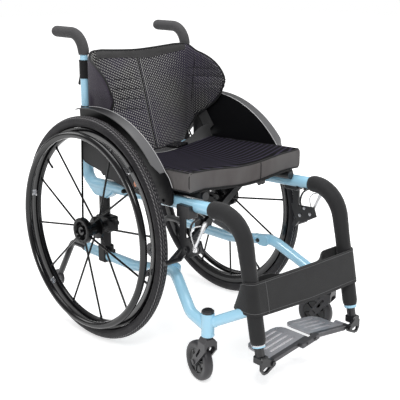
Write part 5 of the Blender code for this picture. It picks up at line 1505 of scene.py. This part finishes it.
def build_grips():
    path = rounded([(FRAME_X, UPRIGHT_Y, 0.747), (FRAME_X, UPRIGHT_Y, GRIP_Z), (FRAME_X, 0.229, GRIP_Z)],
                   [CANE_BEND], 16)
    path = resample(path, 0.004)
    radii = [0.015] * len(path)
    radii[:2] = [0.015 - 0.001] * 2
    radii[-4:] = [0.0146, 0.0138, 0.012, 0.0085]
    pair(tube("grip", path, radii, 28), "grip_foam", "frame", "grip_grey", "grip_grey", "push_grip")


build_sleeves()
build_grips()


def build_rests():
    """Saddle bracket that carries the seat rail on the seat tube's inner side."""
    y = -0.232
    rail = seat_rail_z(y)
    saddle = [(SEAT_RAIL_X + 0.0116 * math.cos(t), rail + 0.0116 * math.sin(t))
              for t in (math.pi + math.pi * k / 14 for k in range(15))]
    outline = [(0.142, rail - 0.001), *saddle, (0.168, rail - 0.001), (0.17, 0.419),
               (0.1672, 0.41), (0.169, 0.399), (0.16, 0.395), (0.148, 0.398), (0.1425, 0.41)]
    rest = slab("rest", outline, "y", y - 0.0115, y + 0.0115, 0.001, 2)
    screw = bolt("screw", (0.156, y, 0.3968), (0.0, 0.0, -1.0), 0.0058, 0.005)
    merge("rest", [rest, screw])
    pair(rest, "rail_saddle", "frame", "black_metal", "black_metal", "rail_rest")


def build_brake_details():
    """Screws on the inner face of each wheel lock's plate and its bent cable guide."""
    parts = [bolt("screw", (0.2062, y, z), (-1, 0, 0), 0.0046, 0.003)
             for y, z in ((-0.373, 0.328), (-0.338, 0.318), (-0.352, 0.341))]
    merge("screws", parts)
    pair(parts[0], "lock_screws", "frame", "steel", "silver")
    guide = spline([(0.2035, -0.346, 0.338), (0.203, -0.341, 0.362), (0.2026, -0.35, 0.385),
                    (0.2005, -0.372, 0.401)], 24)
    pair(tube("guide", guide, 0.0027, 12), "lock_guide", "frame", "black_metal", "black_metal")


def build_brakes():
    """Lever of each wheel lock: round hub, a bright straight bar with a cap and a bent wire."""
    x, y, z = 0.2153, -0.373, 0.328
    hub = tube("hub", [(x + d, y, z) for d in (-0.003, -0.0026, 0.0026, 0.003)],
               [0.0079, 0.0085, 0.0085, 0.0079], 24)
    start = Vector((x, y + 0.006, z - 0.008))
    end = Vector((x, y - 0.0345, z + 0.0735))
    marks = (0.0, 0.03, 0.1, 0.12, 0.7, 0.72, 0.97, 1.0)
    radii = [0.0034, 0.0044, 0.0044, 0.0039, 0.0039, 0.0049, 0.0049, 0.0038]
    bar = tube("bar", [start.lerp(end, m) for m in marks], radii, 20)
    wire = spline([(x + 0.003, y + 0.001, z + 0.006), (x + 0.003, y + 0.012, z + 0.034),
                   (x + 0.002, y + 0.004, z + 0.052), (x + 0.0005, y - 0.02, z + 0.062)], 24)
    merge("lever", [hub, bar, tube("wire", wire, 0.0016, 10),
                    bolt("bolt", (x + 0.0028, y, z), (1, 0, 0), 0.0044, 0.0026)])
    pair(hub, "lock_lever", "brake_lever", "steel", "lever", "brake_lever")


build_rests()
build_brake_details()
build_brakes()


SLOT_OF = {row["node"]: row["material_slot"] for row in frame["record"]["subparts"]}
REMADE = ("rear_tyre", "rear_rim", "spoked_hub", "hand_rim", "caster_tyre", "caster_hub", "side_frame",
          "lower_frame", "back_cane", "brake_lever", "rail_rest", "side_guard", "leg_sleeve",
          "push_grip", "backrest", "calf_strap", "seat_sling", "seat_cushion", "lap_belt")
LOOK_OF = {"caster_fork": "fork_black", "foot_plate": "plate_silver", "release_button": "gloss_black",
           "axle_pin": "gloss_black", "axle_post": "guard_black", "axle_clamp": "guard_black"}
for name, node in NODES.items():
    if name.endswith(REMADE):
        continue
    slot = next((look for end, look in LOOK_OF.items() if name.endswith(end)), SLOT_OF.get(name))
    if slot in LOOKS:
        paint(node, LOOKS[slot])
    edge = node.modifiers.new("Bevel", "BEVEL")
    edge.width = 0.0006
    edge.segments = 2
    edge.limit_method = "ANGLE"
    edge.angle_limit = math.radians(35)
    edge.harden_normals = True


def floor_look():
    """Pale floor that keeps shadows and reads as near white to the camera and in reflections."""
    look = Look("floor_white", (0.8, 0.8, 0.8), 0.9, Specular_IOR_Level=0.0,
                Emission_Color=(1.0, 1.0, 1.0, 1.0))
    path = look.node("ShaderNodeLightPath")
    seen = look.math("MAXIMUM", path.outputs["Is Camera Ray"], path.outputs["Is Glossy Ray"])
    away = look.node("ShaderNodeVectorMath", operation="LENGTH")
    look.link(look.coordinates.outputs["Object"], away.inputs[0])
    fade = look.spread(away.outputs["Value"], 0.7, 2.2, 0.62)
    look.link(look.times(seen, fade), look.shader.inputs["Emission Strength"])
    return look.done()


def area_light(name, spot, size, power):
    """Square lamp that faces the middle of the chair."""
    data = bpy.data.lights.new(name, "AREA")
    data.shape = "RECTANGLE"
    data.size = data.size_y = size
    data.energy = power
    lamp = bpy.data.objects.new(name, data)
    lamp.location = spot
    lamp.rotation_euler = (Vector((0.0, 0.0, 0.4)) - Vector(spot)).to_track_quat("-Z", "Y").to_euler()
    bpy.context.scene.collection.objects.link(lamp)


def build_stage():
    bm = bmesh.new()
    corners = ((-12, -12), (12, -12), (12, 12), (-12, 12))
    bm.faces.new([bm.verts.new((x, y, -0.0005)) for x, y in corners])
    floor = paint(to_object(bm, "floor"), floor_look())
    world = bpy.context.scene.world or bpy.data.worlds.new("World")
    bpy.context.scene.world = world
    world.use_nodes = True
    tree = world.node_tree
    tree.nodes.clear()
    out = tree.nodes.new("ShaderNodeOutputWorld")
    path = tree.nodes.new("ShaderNodeLightPath")
    mix = tree.nodes.new("ShaderNodeMixShader")
    tree.links.new(path.outputs["Is Camera Ray"], mix.inputs[0])
    for socket, strength in zip(mix.inputs[1:], (0.36, 1.0)):
        sky = tree.nodes.new("ShaderNodeBackground")
        sky.inputs["Color"].default_value = (1.0, 1.0, 1.0, 1.0)
        sky.inputs["Strength"].default_value = strength
        tree.links.new(sky.outputs[0], socket)
    tree.links.new(mix.outputs[0], out.inputs[0])
    area_light("key", (-1.9, -2.2, 2.9), 1.2, 64)
    area_light("top", (0.3, 0.5, 3.0), 2.0, 46)
    area_light("side", (2.8, -1.2, 1.6), 1.2, 18)
    area_light("back", (-1.0, 2.8, 2.0), 1.4, 18)


def build_camera():
    azimuth, elevation = math.radians(43.34), math.radians(15.62)
    look = Vector((math.sin(azimuth) * math.cos(elevation), math.cos(azimuth) * math.cos(elevation),
                   -math.sin(elevation)))
    data = bpy.data.cameras.new("camera")
    data.lens = 77.1
    data.sensor_width = 36.0
    data.clip_end = 50.0
    camera = bpy.data.objects.new("camera", data)
    camera.location = (-1.5269, -1.6399, 0.9865)
    camera.rotation_euler = look.to_track_quat("-Z", "Y").to_euler()
    bpy.context.scene.collection.objects.link(camera)
    bpy.context.scene.camera = camera


build_stage()
build_camera()
bpy.context.scene.view_settings.view_transform = "Standard"
